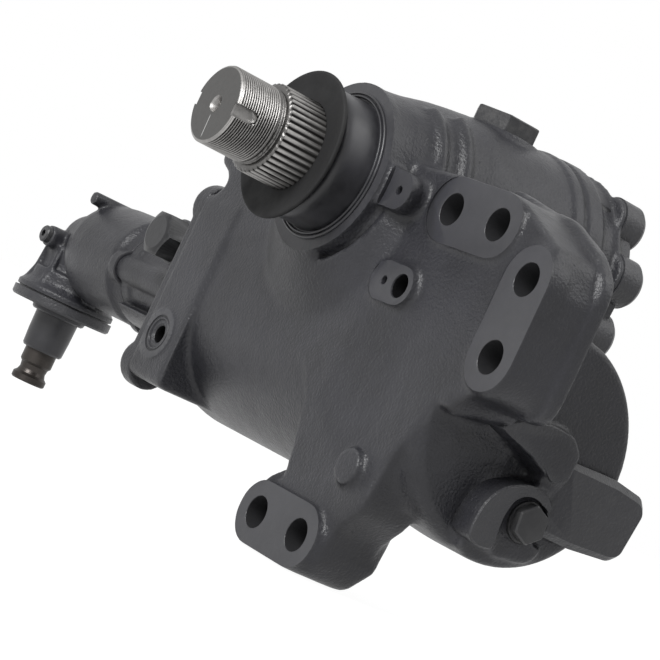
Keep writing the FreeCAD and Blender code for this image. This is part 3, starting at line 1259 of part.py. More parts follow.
nodes["mitre_housing"] = make_mitre_housing()
nodes["driven_bevel_gear"] = make_driven_bevel_gear()
nodes["input_bevel_gear"] = make_input_bevel_gear()
nodes["stub_bearing"] = make_stub_bearing()
nodes["input_bearing"] = make_input_bearing()
nodes["input_shaft"] = make_input_shaft()
nodes["input_cover"] = make_input_cover()
nodes["input_cover_gasket"] = make_input_cover_gasket()
nodes["input_cover_screws"] = make_input_cover_screws()
nodes["input_seal"] = make_input_seal()
nodes["input_boot"] = make_input_boot()
nodes["grease_plug"] = make_grease_plug()
nodes["top_plug"] = make_top_plug()
nodes["stop_screw"] = make_stop_screw()
nodes["stop_screw_washer"] = make_stop_screw_washer()

os.makedirs("parts", exist_ok=True)
for name, shape in nodes.items():
    shape.exportStep("parts/" + name + ".step")
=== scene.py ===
import json
import math

import bmesh
import bpy
import numpy as np
from mathutils import Matrix, Vector


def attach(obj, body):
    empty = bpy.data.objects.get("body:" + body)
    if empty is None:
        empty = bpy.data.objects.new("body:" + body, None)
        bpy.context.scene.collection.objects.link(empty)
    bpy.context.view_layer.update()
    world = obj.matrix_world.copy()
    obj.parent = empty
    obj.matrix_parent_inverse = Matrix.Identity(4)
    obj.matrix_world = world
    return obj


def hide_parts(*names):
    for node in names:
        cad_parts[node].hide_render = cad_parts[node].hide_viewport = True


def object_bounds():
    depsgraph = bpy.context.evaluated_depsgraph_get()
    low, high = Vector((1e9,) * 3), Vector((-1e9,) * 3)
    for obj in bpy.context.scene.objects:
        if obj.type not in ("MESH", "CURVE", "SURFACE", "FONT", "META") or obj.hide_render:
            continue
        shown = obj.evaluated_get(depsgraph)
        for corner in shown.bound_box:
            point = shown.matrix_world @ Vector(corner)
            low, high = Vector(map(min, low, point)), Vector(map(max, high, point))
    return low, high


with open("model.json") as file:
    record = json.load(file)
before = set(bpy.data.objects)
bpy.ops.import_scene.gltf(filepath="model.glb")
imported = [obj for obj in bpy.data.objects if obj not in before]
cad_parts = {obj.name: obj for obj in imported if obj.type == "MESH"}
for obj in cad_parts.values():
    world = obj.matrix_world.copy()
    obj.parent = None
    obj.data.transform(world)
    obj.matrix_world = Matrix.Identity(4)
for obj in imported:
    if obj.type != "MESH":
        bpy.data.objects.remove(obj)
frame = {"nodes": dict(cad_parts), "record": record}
CAD_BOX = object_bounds()
NODES = frame["nodes"]
SCENE = bpy.context.scene
SCENE.view_settings.view_transform = "Standard"
MM = 0.001

# Camera of the photograph: focal length in pixels on a square frame of 660
FOCAL = 2502.76
FRAME = 660
SENSOR = 36.0
CAM_RIGHT = Vector((0.5091, 0.7488, 0.4244))
CAM_UP = Vector((-0.2235, -0.3611, 0.9053))
CAM_BACK = Vector((0.8312, -0.5557, -0.0164))
CAM_PLACE = Vector((1.3057, -0.8436, -0.1181))

# Sizes of the CAD model that the dressed pieces repeat, in millimetres
PISTON_Y = 71.0
PISTON_Z = -106.7
BORE_R = 61.0
BORE_END = 162.6
VALVE_FACE = -153.0
DOME_FACE = 176.6
DOME_CENTRE = (73.0, -107.5)
COVER_FACE = 162.0
BOSS_FACE = -20.7
BOSS_R = 55.5
PLATE_BACK = 42.0
MOUNT_HOLE_R = 10.3
PAD_R = 20.6
PADS = [((105.9, 0.4), (153.5, 0.4)), ((200.0, -23.6), (200.0, -71.2)), ((55.2, -211.2), (102.8, -211.2))]
SHAFT_TIP = -114.0
THREAD_R = 25.4
SEAL_BORE_R = 43.5
JOURNAL_R = 32.9
CHAMBER_R = 58.2
COVER_BOLT_CIRCLE = 65.4
COVER_LOBE_CIRCLE = 63.5
COVER_BOLT_ANGLES = (50.0, 13.0, -22.0, -52.0)
TOP_PLUG = (0, 85.1)
STOP_BOLT = (88.5, -147.2)
SIDE_PORT = (95.7, -53.0)
SIDE_DIMPLE = (78.6, -53.0)
FLANGE_PORT = (-134.5, -141.2)
EAR_HOLE = (70.5, -1)
EAR_LEVEL = -15.5
SIDE_PORT_LEVEL = -3.4
FLANGE_PORT_LEVEL = -4.8
MITRE_X = -413.4

# Details of the scene alone, in millimetres
VOXEL = 1.5
FINE_VOXEL = 1.1
THREAD_PITCH = 1.7
THREAD_DEPTH = 1.0
THREAD_STOP = -80.0
SERRATIONS = 43
SERRATION_ROOT_R = 27.75


# Mesh helpers: a part is a pair of vertices and faces, in millimetres

def lathe(axis, centre, profile, steps=96):
    """Profile of (station, radius) turned about a line along a frame axis."""
    a, b = centre
    verts, rings = [], []
    for station, radius in profile:
        if radius < 1e-6:
            rings.append([len(verts)])
            verts.append(placed(axis, station, a, b))
            continue
        ring = []
        for k in range(steps):
            turn = 2 * math.pi * k / steps
            ring.append(len(verts))
            verts.append(placed(axis, station, a + radius * math.cos(turn), b + radius * math.sin(turn)))
        rings.append(ring)
    faces = []
    closed = len(rings[0]) > 1
    for near, far in zip(rings, rings[1:] + ([rings[0]] if closed else [])):
        for k in range(steps):
            n = (k + 1) % steps
            if len(near) == 1 and len(far) > 1:
                faces.append((near[0], far[k], far[n]))
            elif len(far) == 1 and len(near) > 1:
                faces.append((near[k], far[0], near[n]))
            elif len(near) > 1:
                faces.append((near[k], far[k], far[n], near[n]))
    return verts, faces


def placed(axis, station, a, b):
    return {"X": (station, a, b), "Y": (a, station, b), "Z": (a, b, station)}[axis]


def rod(axis, centre, radius, start, end, steps=64):
    return lathe(axis, centre, [(start, 0), (start, radius), (end, radius), (end, 0)], steps)


def prism(axis, corners, start, end):
    count = len(corners)
    verts = [placed(axis, start, a, b) for a, b in corners] + [placed(axis, end, a, b) for a, b in corners]
    faces = [tuple(range(count)), tuple(range(2 * count - 1, count - 1, -1))]
    for k in range(count):
        n = (k + 1) % count
        faces.append((k, k + count, n + count, n))
    return verts, faces


def swept(axis, centre, profile, first, last, steps=48):
    """Closed (station, radius) outline swept about a line between two angles in degrees."""
    a, b = centre
    verts, faces = [], []
    count = len(profile)
    for k in range(steps + 1):
        turn = math.radians(first + (last - first) * k / steps)
        verts += [placed(axis, s, a + r * math.cos(turn), b + r * math.sin(turn)) for s, r in profile]
    for k in range(steps):
        for i in range(count):
            n = (i + 1) % count
            faces.append((k * count + i, k * count + n, (k + 1) * count + n, (k + 1) * count + i))
    faces += [tuple(range(count)), tuple(range(steps * count + count - 1, steps * count - 1, -1))]
    return verts, faces


def lofted(axis, sections):
    """Solid through (station, outline) sections that all have the same number of corners."""
    count = len(sections[0][1])
    verts = [placed(axis, station, a, b) for station, corners in sections for a, b in corners]
    faces = [tuple(range(count)), tuple(range(len(verts) - 1, len(verts) - count - 1, -1))]
    for k in range(len(sections) - 1):
        for i in range(count):
            n = (i + 1) % count
            faces.append((k * count + i, k * count + n, (k + 1) * count + n, (k + 1) * count + i))
    return verts, faces


def inset(corners, depth):
    """Outline drawn in towards its middle by about the given depth."""
    ma = sum(c[0] for c in corners) / len(corners)
    mb = sum(c[1] for c in corners) / len(corners)
    points = []
    for a, b in corners:
        reach = max(1e-6, math.hypot(a - ma, b - mb))
        points.append((ma + (a - ma) * (1 - depth / reach), mb + (b - mb) * (1 - depth / reach)))
    return points


def crisp(axis, corners, start, end, bevel):
    """Prism whose end face has a narrow bevel round it."""
    outer = rounded(corners, 6)
    return lofted(axis, [(start, outer), (end - bevel, outer), (end, inset(outer, bevel))])


def stadium(first, second, radius, steps=40):
    """Outline round two centres."""
    (ax, ay), (bx, by) = first, second
    along = math.atan2(by - ay, bx - ax)
    points = []
    for (cx, cy), base in (((bx, by), along - math.pi / 2), ((ax, ay), along + math.pi / 2)):
        for k in range(steps + 1):
            turn = base + math.pi * k / steps
            points.append((cx + radius * math.cos(turn), cy + radius * math.sin(turn)))
    return points


def rounded(corners, radius, steps=8):
    """Closed outline with every corner eased by a curve."""
    points = []
    count = len(corners)
    for k in range(count):
        before, corner, after = Vector(corners[k - 1]), Vector(corners[k]), Vector(corners[(k + 1) % count])
        reach_in = min(radius, (before - corner).length * 0.45)
        reach_out = min(radius, (after - corner).length * 0.45)
        start = corner + (before - corner).normalized() * reach_in
        end = corner + (after - corner).normalized() * reach_out
        for i in range(steps + 1):
            t = i / steps
            points.append(tuple((1 - t) ** 2 * start + 2 * t * (1 - t) * corner + t * t * end))
    return points


def beads(points, radius):
    """Chain of overlapping balls along a run of points, merged later by the remesh."""
    parts = []
    for near, far in zip(points, points[1:]):
        near, far = Vector(near), Vector(far)
        count = max(1, int((far - near).length / (radius * 0.4)))
        for k in range(count):
            parts.append(ball(near.lerp(far, k / count), radius))
    parts.append(ball(Vector(points[-1]), radius))
    return parts


def ball(centre, radius, rings=8):
    profile = []
    for k in range(rings + 1):
        turn = math.pi * k / rings
        profile.append((centre.y - radius * math.cos(turn), radius * math.sin(turn) if 0 < k < rings else 0))
    return lathe("Y", (centre.x, centre.z), profile, 16)


def make_mesh(name, parts, nodes=(), meshes=()):
    """Mesh of parts in millimetres and of copies of CAD nodes or meshes, all facing outwards."""
    bm = bmesh.new()
    for node in nodes:
        bm.from_mesh(NODES[node].data)
    for mesh in meshes:
        bm.from_mesh(mesh)
    bmesh.ops.remove_doubles(bm, verts=bm.verts, dist=2e-6)
    for verts, faces in parts:
        made = [bm.verts.new(Vector(v) * MM) for v in verts]
        for face in faces:
            bm.faces.new([made[k] for k in face])
    bmesh.ops.recalc_face_normals(bm, faces=bm.faces)
    mesh = bpy.data.meshes.new(name)
    bm.to_mesh(mesh)
    bm.free()
    return mesh


def new_object(name, mesh):
    piece = bpy.data.objects.new(name, mesh)
    SCENE.collection.objects.link(piece)
    return piece


def bake_modifiers(piece):
    graph = bpy.context.evaluated_depsgraph_get()
    mesh = bpy.data.meshes.new_from_object(piece.evaluated_get(graph))
    old = piece.data
    piece.modifiers.clear()
    piece.data = mesh
    bpy.data.meshes.remove(old)


def boolean(piece, parts, operation="DIFFERENCE"):
    cutter = new_object("cutter", make_mesh("cutter", parts))
    step = piece.modifiers.new("cut", "BOOLEAN")
    step.solver = "MANIFOLD"
    step.operation = operation
    step.object = cutter
    bake_modifiers(piece)
    spent = cutter.data
    bpy.data.objects.remove(cutter)
    bpy.data.meshes.remove(spent)


def remesh(piece, voxel):
    step = piece.modifiers.new("skin", "REMESH")
    step.mode = "VOXEL"
    step.voxel_size = voxel * MM
    bake_modifiers(piece)


def relax(piece, weight, rounds):
    """Laplacian smoothing with a weight from 0 to 1 for each point."""
    mesh = piece.data
    count = len(mesh.vertices)
    place = np.empty(count * 3)
    mesh.vertices.foreach_get("co", place)
    place = place.reshape(-1, 3)
    ends = np.empty(len(mesh.edges) * 2, dtype=np.int32)
    mesh.edges.foreach_get("vertices", ends)
    first, second = ends[0::2], ends[1::2]
    valence = np.maximum(np.bincount(ends, minlength=count), 1)[:, None]
    share = weight(place / MM)[:, None]
    for _ in range(rounds):
        total = np.empty_like(place)
        for k in range(3):
            total[:, k] = (np.bincount(first, place[second, k], count)
                           + np.bincount(second, place[first, k], count))
        place += share * (total / valence - place)
    mesh.vertices.foreach_set("co", place.ravel())
    mesh.update()


def soft_spots(base, spots):
    """Weight function: a base value, raised near each (centre, radii, value)."""
    def weight(points):
        share = np.full(len(points), base)
        for centre, radii, value in spots:
            gap = np.sqrt((((points - np.array(centre)) / np.array(radii)) ** 2).sum(axis=1))
            share = np.maximum(share, value * np.clip(1.6 - gap * 0.9, 0, 1)) if value > base else np.where(
                gap < 1, value, share)
        return share
    return weight


def shade(piece, angle=32):
    piece.data.shade_smooth()
    piece.data.set_sharp_from_angle(angle=math.radians(angle))


def dress(piece, body, slot, *nodes):
    """Give a finished piece its body, slot and the CAD nodes that it stands for."""
    piece.data.materials.clear()
    piece.data.materials.append(MATERIALS[slot])
    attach(piece, body)
    if nodes:
        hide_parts(*nodes)


def make_camera():
    data = bpy.data.cameras.new("camera")
    data.sensor_width = SENSOR
    data.lens = SENSOR * FOCAL / FRAME
    data.clip_end = 30
    camera = bpy.data.objects.new("camera", data)
    SCENE.collection.objects.link(camera)
    r, u, b, p = CAM_RIGHT, CAM_UP, CAM_BACK, CAM_PLACE
    camera.matrix_world = Matrix(((r.x, u.x, b.x, p.x),
                                  (r.y, u.y, b.y, p.y),
                                  (r.z, u.z, b.z, p.z),
                                  (0, 0, 0, 1)))
    SCENE.camera = camera


def area_light(name, place, aim, size, energy):
    data = bpy.data.lights.new(name, "AREA")
    data.shape = "SQUARE"
    data.size = size
    data.energy = energy
    lamp = bpy.data.objects.new(name, data)
    lamp.location = place
    lamp.rotation_euler = (Vector(aim) - Vector(place)).to_track_quat("-Z", "Y").to_euler()
    SCENE.collection.objects.link(lamp)


# Materials

class Nodes:
    """Small wrapper that adds and links shader nodes."""

    def __init__(self, name):
        self.material = bpy.data.materials.new(name)
        self.material.use_nodes = True
        self.tree = self.material.node_tree
        self.shader = self.tree.nodes["Principled BSDF"]
        self.geometry = self.tree.nodes.new("ShaderNodeNewGeometry")
        self.coords = self.tree.nodes.new("ShaderNodeTexCoord")

    def add(self, kind, links=(), **values):
        node = self.tree.nodes.new(kind)
        for key, value in values.items():
            setattr(node, key, value)
        for socket, source in links:
            self.put(node, socket, source)
        return node

    def put(self, node, socket, source):
        if isinstance(source, bpy.types.NodeSocket):
            self.tree.links.new(source, node.inputs[socket])
        else:
            node.inputs[socket].default_value = source

    def noise(self, scale, detail=3.0, rough=0.5):
        return self.add("ShaderNodeTexNoise", [("Vector", self.coords.outputs["Object"]), ("Scale", scale),
                                               ("Detail", detail), ("Roughness", rough)]).outputs["Fac"]

    def cells(self, scale):
        return self.add("ShaderNodeTexVoronoi", [("Vector", self.coords.outputs["Object"]),
                                                 ("Scale", scale)]).outputs["Distance"]

    def ramp(self, value, low, high, out_low=0.0, out_high=1.0):
        sockets = [(0, value), (1, low), (2, high), (3, out_low), (4, out_high)]
        return self.add("ShaderNodeMapRange", sockets).outputs[0]

    def maths(self, operation, a, b=0.0, c=0.0):
        return self.add("ShaderNodeMath", [(0, a), (1, b), (2, c)], operation=operation).outputs[0]

    def mix(self, factor, a, b):
        node = self.add("ShaderNodeMix", data_type="RGBA")
        self.put(node, 0, factor)
        self.put(node, 6, a)
        self.put(node, 7, b)
        return node.outputs[2]

    def bump(self, height, distance, strength=1.0, normal=None):
        node = self.add("ShaderNodeBump", [("Height", height), ("Distance", distance),
                                           ("Strength", strength)])
        if normal is not None:
            self.put(node, "Normal", normal)
        return node.outputs[0]

    def finish(self, colour, rough, normal=None, metallic=0.0):
        self.put(self.shader, "Base Color", colour)
        self.put(self.shader, "Roughness", rough)
        self.shader.inputs["Metallic"].default_value = metallic
        if normal is not None:
            self.put(self.shader, "Normal", normal)
        return self.material


def cast_paint(name, base, grain, worn, shine=0.3):
    """Satin black paint over a sand-cast skin, with painted highlights on convex edges and painted shade in
    creases.
    """
    n = Nodes(name)
    n.shader.inputs["Specular IOR Level"].default_value = 0.36
    skin = n.noise(560.0, 3.0, 0.55)
    lumps = n.noise(110.0, 3.0, 0.5)
    patches = n.noise(14.0, 4.0, 0.6)
    pits = n.ramp(n.cells(230.0), 0.05, 0.26)
    dark = (base[0] * 0.75, base[1] * 0.75, base[2] * 0.77, 1)
    pale = (base[0] * 1.25, base[1] * 1.25, base[2] * 1.3, 1)
    colour = n.mix(n.ramp(patches, 0.35, 0.7), dark, pale)
    speck = n.ramp(n.noise(700.0, 2.0, 0.5), 0.4, 0.75)
    colour = n.mix(n.maths("MULTIPLY", speck, 0.16 * grain), colour, (0.05, 0.05, 0.052, 1))
    pointed = n.geometry.outputs["Pointiness"]
    # Convex edges painted lighter: a painted highlight for the sheen along edges
    painted_edge_sheen = n.maths("MULTIPLY", n.ramp(pointed, 0.508, 0.545), 0.45)
    colour = n.mix(painted_edge_sheen, colour, (0.062, 0.0622, 0.066, 1))
    # Creases painted darker: painted shade; the same mask also raises roughness there
    shaded_creases = n.ramp(pointed, 0.49, 0.455)
    colour = n.mix(n.maths("MULTIPLY", shaded_creases, 0.6), colour, (0.009, 0.009, 0.0095, 1))
    scuffs = n.maths("MULTIPLY", n.ramp(pointed, 0.515, 0.57), n.ramp(n.noise(160.0, 4.0, 0.7), 0.4, 0.62))
    colour = n.mix(n.maths("MULTIPLY", scuffs, worn), colour, (0.12, 0.118, 0.115, 1))
    rough = n.ramp(n.noise(60.0, 5.0, 0.65), 0.3, 0.75, shine, shine + 0.1)
    rough = n.maths("ADD", rough, n.maths("MULTIPLY", shaded_creases, 0.12))
    normal = n.bump(lumps, 0.0007 * grain, 0.6)
    normal = n.bump(skin, 0.0006 * grain, 0.9, normal)
    normal = n.bump(pits, 0.00018 * grain, 0.7, normal)
    return n.finish(colour, rough, normal)


def steel(name, base, rough_low, rough_high, axis="Y", stain=0.4, metallic=1.0):
    """Turned steel with fine rings along one axis and faint stains."""
    n = Nodes(name)
    stretch = {"X": (900.0, 6.0, 6.0), "Y": (6.0, 900.0, 6.0), "Z": (6.0, 6.0, 900.0)}[axis]
    mapping = n.add("ShaderNodeMapping", [("Vector", n.coords.outputs["Object"]), ("Scale", stretch)])
    rings = n.add("ShaderNodeTexNoise", [("Vector", mapping.outputs[0]), ("Scale", 1.0), ("Detail", 4.0)])
    patches = n.noise(45.0, 4.0, 0.6)
    dark = tuple(c * (1 - stain) for c in base) + (1,)
    colour = n.mix(n.ramp(patches, 0.4, 0.65), tuple(base) + (1,), dark)
    rough = n.ramp(rings.outputs["Fac"], 0.3, 0.7, rough_low, rough_high)
    normal = n.bump(rings.outputs["Fac"], 0.00008, 0.6)
    return n.finish(colour, rough, normal, metallic)


def shaft_steel(name):
    """Bright crests over valleys painted dark as shade, with some oil, on the thread and the serrations, and
    a scribed end face.
    """
    n = Nodes(name)
    split = n.add("ShaderNodeSeparateXYZ", [(0, n.coords.outputs["Object"])])
    x, y, z = split.outputs[0], split.outputs[1], split.outputs[2]
    radius = n.maths("SQRT", n.maths("ADD", n.maths("MULTIPLY", x, x), n.maths("MULTIPLY", z, z)))
    # Crests of the thread and of the serrations, the plain bands and the end face; all else gets the dark
    # valley colour, painted shade with some oil; crests darker towards the boot
    low = n.ramp(n.ramp(y, -0.0800, -0.0796), 0.0, 1.0, 0.02445, 0.0284)
    crest = n.ramp(n.maths("SUBTRACT", radius, low), 0.0, 0.0009)
    band = n.maths("MULTIPLY", n.ramp(y, -0.0848, -0.0844), n.ramp(y, -0.0778, -0.0783))
    crest = n.maths("MAXIMUM", crest, n.maths("MULTIPLY", band, 0.4))
    crest = n.maths("MAXIMUM", crest, n.ramp(radius, 0.0233, 0.0238, 0.75, 0.0))
    crest = n.maths("MAXIMUM", crest, n.ramp(y, -0.1122, -0.1126, 0.0, 0.95))
    # Crests darker towards the boot
    crest = n.maths("MULTIPLY", crest, n.ramp(y, -0.074, -0.054, 1.0, 0.4))
    wear = n.ramp(n.noise(220.0, 5.0, 0.7), 0.3, 0.7, 0.65, 1.0)
    haze = n.ramp(n.noise(38.0, 4.0, 0.6), 0.35, 0.65, 0.72, 1.0)
    bright = n.mix(n.maths("MULTIPLY", wear, haze), (0.13, 0.127, 0.122, 1), (0.42, 0.41, 0.4, 1))
    bright = n.mix(n.ramp(y, -0.1136, -0.1139), bright, (0.125, 0.123, 0.12, 1))
    # Valleys take the near-black colour: painted shade, with some oil
    colour = n.mix(crest, (0.014, 0.0135, 0.013, 1), bright)
    # Line scribed across one half of the end face
    off_line = n.maths("ABSOLUTE", n.maths("SUBTRACT", x, n.maths("MULTIPLY", z, -0.04)))
    reach = n.maths("MULTIPLY", n.ramp(z, -0.007, -0.0085), n.ramp(z, -0.0225, -0.0205))
    line = n.maths("MULTIPLY", n.ramp(off_line, 0.0004, 0.0002), reach)
    line = n.maths("MULTIPLY", line, n.ramp(y, -0.1134, -0.1138))
    colour = n.mix(n.maths("MULTIPLY", line, 0.8), colour, (0.75, 0.75, 0.74, 1))
    rough = n.ramp(n.noise(300.0, 4.0, 0.6), 0.3, 0.7, 0.3, 0.46)
    normal = n.bump(n.noise(520.0, 4.0, 0.6), 0.00007, 0.6)
    return n.finish(colour, rough, normal, 1.0)


def rubber(name, base, rough, lip_station=None):
    """Smooth rubber; in front of the given station it is rougher, and its colour there is painted darker as
    shade inside the lip.
    """
    n = Nodes(name)
    n.shader.inputs["Specular IOR Level"].default_value = 0.5
    haze = n.noise(30.0, 4.0, 0.6)
    colour = n.mix(n.ramp(haze, 0.4, 0.7), tuple(base) + (1,), tuple(c * 2.0 for c in base) + (1,))
    roughness = n.ramp(n.noise(120.0, 3.0, 0.6), 0.3, 0.7, rough, rough + 0.12)
    if lip_station is not None:
        split = n.add("ShaderNodeSeparateXYZ", [(0, n.coords.outputs["Object"])])
        # Inside the lip: rougher, and painted darker as shade
        lip_rough_and_shaded = n.ramp(split.outputs[1], lip_station, lip_station - 0.0006)
        roughness = n.maths("ADD", roughness, n.maths("MULTIPLY", lip_rough_and_shaded, 0.42))
        colour = n.mix(lip_rough_and_shaded, colour, (0.002, 0.002, 0.0024, 1))
    normal = n.bump(n.noise(600.0, 2.0, 0.5), 0.00006, 0.5)
    return n.finish(colour, roughness, normal)


MATERIALS = {
    "black_paint": cast_paint("black_paint", (0.023, 0.0232, 0.0266), 1.0, 0.1),
    "black_paint_fastener": cast_paint("black_paint_fastener", (0.013, 0.0132, 0.014), 0.25, 0.3),
    "bare_steel": steel("bare_steel", (0.24, 0.235, 0.225), 0.28, 0.42),
    "ground_steel": steel("ground_steel", (0.5, 0.5, 0.5), 0.15, 0.3, "X", 0.15),
    "black_rubber": rubber("black_rubber", (0.02, 0.02, 0.0225), 0.3, -0.0508),
    "dark_stub": steel("dark_stub", (0.05, 0.044, 0.04), 0.3, 0.48, "Z", 0.5, 0.7),
    "seal_polymer": rubber("seal_polymer", (0.05, 0.055, 0.05), 0.4),
}
SHAFT_STEEL = shaft_steel("shaft_steel")
# Near-black paint inside the front holes: painted shade in the bores
HOLE_SHADE_PAINT = cast_paint("painted_hole_shade", (0.003, 0.003, 0.0032), 0.3, 0.0, 0.6)
HOLE_SHADE_PAINT.node_tree.nodes["Principled BSDF"].inputs["Specular IOR Level"].default_value = 0.1
MACHINED_PAINT = cast_paint("machined_paint", (0.034, 0.0342, 0.0385), 0.1, 0.1, 0.34)

for row in frame["record"]["subparts"]:
    node = NODES[row["node"]]
    material = MATERIALS[row["material_slot"]]
    if node.data.materials:
        for index in range(len(node.data.materials)):
            node.data.materials[index] = material
    else:
        node.data.materials.append(material)


# Main casting: the CAD solid with filled bores, softened as a casting is, then machined again

def on_circle(radius):
    places = []
    for angle in COVER_BOLT_ANGLES:
        for side in (1, -1):
            turn = math.radians(angle)
            places.append((side * radius * math.cos(turn), radius * math.sin(turn)))
    return places


def valve_bolts():
    return [(PISTON_Y + dy, PISTON_Z + dz) for dy in (-58.5, 58.5) for dz in (-57.5, 57.5)]


def tower_radius(y):
    """Outer radius of the tower in front of the plate's back, with its two soft bands."""
    stations = [-10, -1.5, 3, 13.5, 22, 36, 44]
    radii = [56.5, 57.8, 58.6, 61.2, 63.2, 65.6, 66.8]
    base = float(np.interp(y, stations, radii))
    return base + 1.5 * math.exp(-((y - 13.5) / 4.2) ** 2) + 1.6 * math.exp(-((y - 31.0) / 4.6) ** 2)


def tower_trim():
    """Cutter that takes the plate's corner off the tower."""
    sections = []
    for k in range(24):
        y = -8 + 51.0 * k / 23
        radius = tower_radius(y)
        low = math.asin(20.9 / radius)
        arc = [low + (math.radians(80) - low) * i / 30 for i in range(31)]
        corners = [(radius * math.cos(t), radius * math.sin(t)) for t in arc]
        sections.append((y, corners + [(12, 100), (104, 100), (104, 20.9 + 1.2)]))
    return lofted("Y", sections)


# Outlines on the closed end, in (Y, Z)
D_PAD = [(39.6, -104.2), (40.9, -99.8), (52.5, -94.6), (72, -89.3), (87.9, -90.2), (97.5, -97.4),
         (100, -106.4), (97.9, -114.4), (90.8, -120.3), (86, -119.0), (79.1, -114)]
WALL = [(50.5, -168), (49.4, -160.3), (50.7, -147.5), (54.7, -139), (60.9, -132.4), (72.6, -127.3),
        (81, -125.6), (91, -127), (99, -133), (97.5, -137.8), (91.6, -133.2), (83.9, -131.0),
        (75.7, -132.6), (69.2, -138), (67.2, -146.5), (68, -158), (70.4, -169.6), (60.6, -171.4)]
BAR_LOW = [(88, -103.6), (104, -103.6), (137.4, -102.4), (161.6, -105.6), (167.6, -112.5),
           (164.6, -143), (157.5, -148.6), (125, -151.4), (92, -150.4)]
BAR_TOP = [(88, -107.4), (104.4, -107.4), (139.2, -107.2), (160.8, -109.6), (165.4, -114.6),
           (161.9, -142.4), (156, -145.4), (125, -147.2), (92, -147)]


def bore_fills():
    """Plugs for every bore and hole, so that the soft skin closes over them."""
    fill = [lathe("X", (PISTON_Y, PISTON_Z), [(VALVE_FACE + 1, 0), (VALVE_FACE + 1, BORE_R + 1),
                                              (BORE_END - 1, BORE_R + 1), (BORE_END - 1, 0)]),
            lathe("Y", (0, 0), [(BOSS_FACE + 0.5, 0), (BOSS_FACE + 0.5, 46), (44, 46), (44, 60),
                                (COVER_FACE - 0.5, 60), (COVER_FACE - 0.5, 0)])]
    for place in on_circle(COVER_BOLT_CIRCLE):
        fill.append(rod("Y", place, 6.0, COVER_FACE - 24, COVER_FACE - 0.5, 16))
    for place in valve_bolts():
        fill.append(rod("X", place, 9.0, VALVE_FACE + 0.5, VALVE_FACE + 38, 16))
    for pad in PADS:
        for hole in pad:
            fill.append(rod("Y", hole, MOUNT_HOLE_R + 1, 0.5, PLATE_BACK + 0.5, 24))
    return fill + [rod("Z", TOP_PLUG, 14, 45, 68.5, 32),
                   rod("X", STOP_BOLT, 8, BORE_END - 1, DOME_FACE + 5, 24),
                   rod("Y", SIDE_PORT, 8, -3, 14, 24),
                   rod("Y", SIDE_DIMPLE, 3.2, -3, 6, 16),
                   rod("Y", EAR_HOLE, 3.2, -15, -8, 16),
                   rod("Y", FLANGE_PORT, 11, -4.5, 12, 24)]


def rough_cuts():
    """Forms that come off before the skin is softened, one cutter for each boolean."""
    bar = [(101, -92), (180, -92), (180, -158), (101, -158)]
    bar_end = [(147, -92), (180, -92), (180, -158), (147, -158)]
    rib = [(0, -108), (40, -104), (46, -105), (50, -109), (60, -112), (66, -118), (70, -126), (60, -127),
           (40, -124), (0, -125)]
    return [tower_trim(), prism("X", bar, DOME_FACE, 200), prism("X", bar_end, 158, 200),
            prism("X", rib, 168.2, 180),
            lathe("Y", (0, 0), [(145.5, 70.0), (158.5, 70.0), (158.5, 90), (145.5, 90)], 128)]


def tower_stock():
    """Cover plane, the two flat bands at the cover end, the ring at the boss and the two soft bands."""
    cover_bands = [(118.6, 66), (118.6, 71.0), (120, 72.6), (127.4, 72.8), (129.2, 70.9), (130.9, 70.9),
                   (132, 73.2), (144.4, 73.6), (145.3, 72.4), (145.3, 66)]
    boss_ring = [(-11, 50), (-11, 57.0), (-6.5, 60.5), (-5, 64), (0.5, 71), (4, 71), (4, 50)]
    first_band = [(8.5, 55), (9.5, 61.4), (11.5, 64.2), (15.5, 65.2), (18.5, 62.6), (19, 55)]
    second_band = [(25.5, 55), (26, 65), (28, 68.2), (32.5, 69.4), (36.5, 66.2), (37, 55)]
    return [rod("Y", (0, 0), 70.2, COVER_FACE - 3, COVER_FACE + 2),
            lathe("Y", (0, 0), cover_bands, 128),
            swept("Y", (0, 0), boss_ring, -112, -8),
            swept("Y", (0, 0), first_band, 16, 68),
            swept("Y", (0, 0), second_band, 12, 64),
            rod("Z", TOP_PLUG, 24.6, 55, 70)]


def dome_stock():
    """Rim of the closed end and the bodies under its D-shaped pad and horseshoe seat."""
    high_rim = [(120, 58), (120, 72.6), (138, 73.2), (172.6, 73.2), (175.4, 72.4), (176.6, 70.4), (176.6, 58)]
    low_rim = [(120, 58), (120, 72.6), (138, 73.2), (160, 73.0), (164.5, 71.8), (167.5, 68.6), (168, 64),
               (168, 58)]
    pad = [(42, -102), (60, -96), (80, -93), (96, -100), (96, -114), (88, -118), (74, -112)]
    seat = [(55, -166), (55, -148), (60, -138), (70, -131), (92, -130), (96, -140), (96, -166)]
    return [swept("X", DOME_CENTRE, high_rim, -97, 76), swept("X", DOME_CENTRE, low_rim, -158, -95),
            prism("X", rounded(pad, 6), 160, 182), prism("X", rounded(seat, 8), 150, 181)]


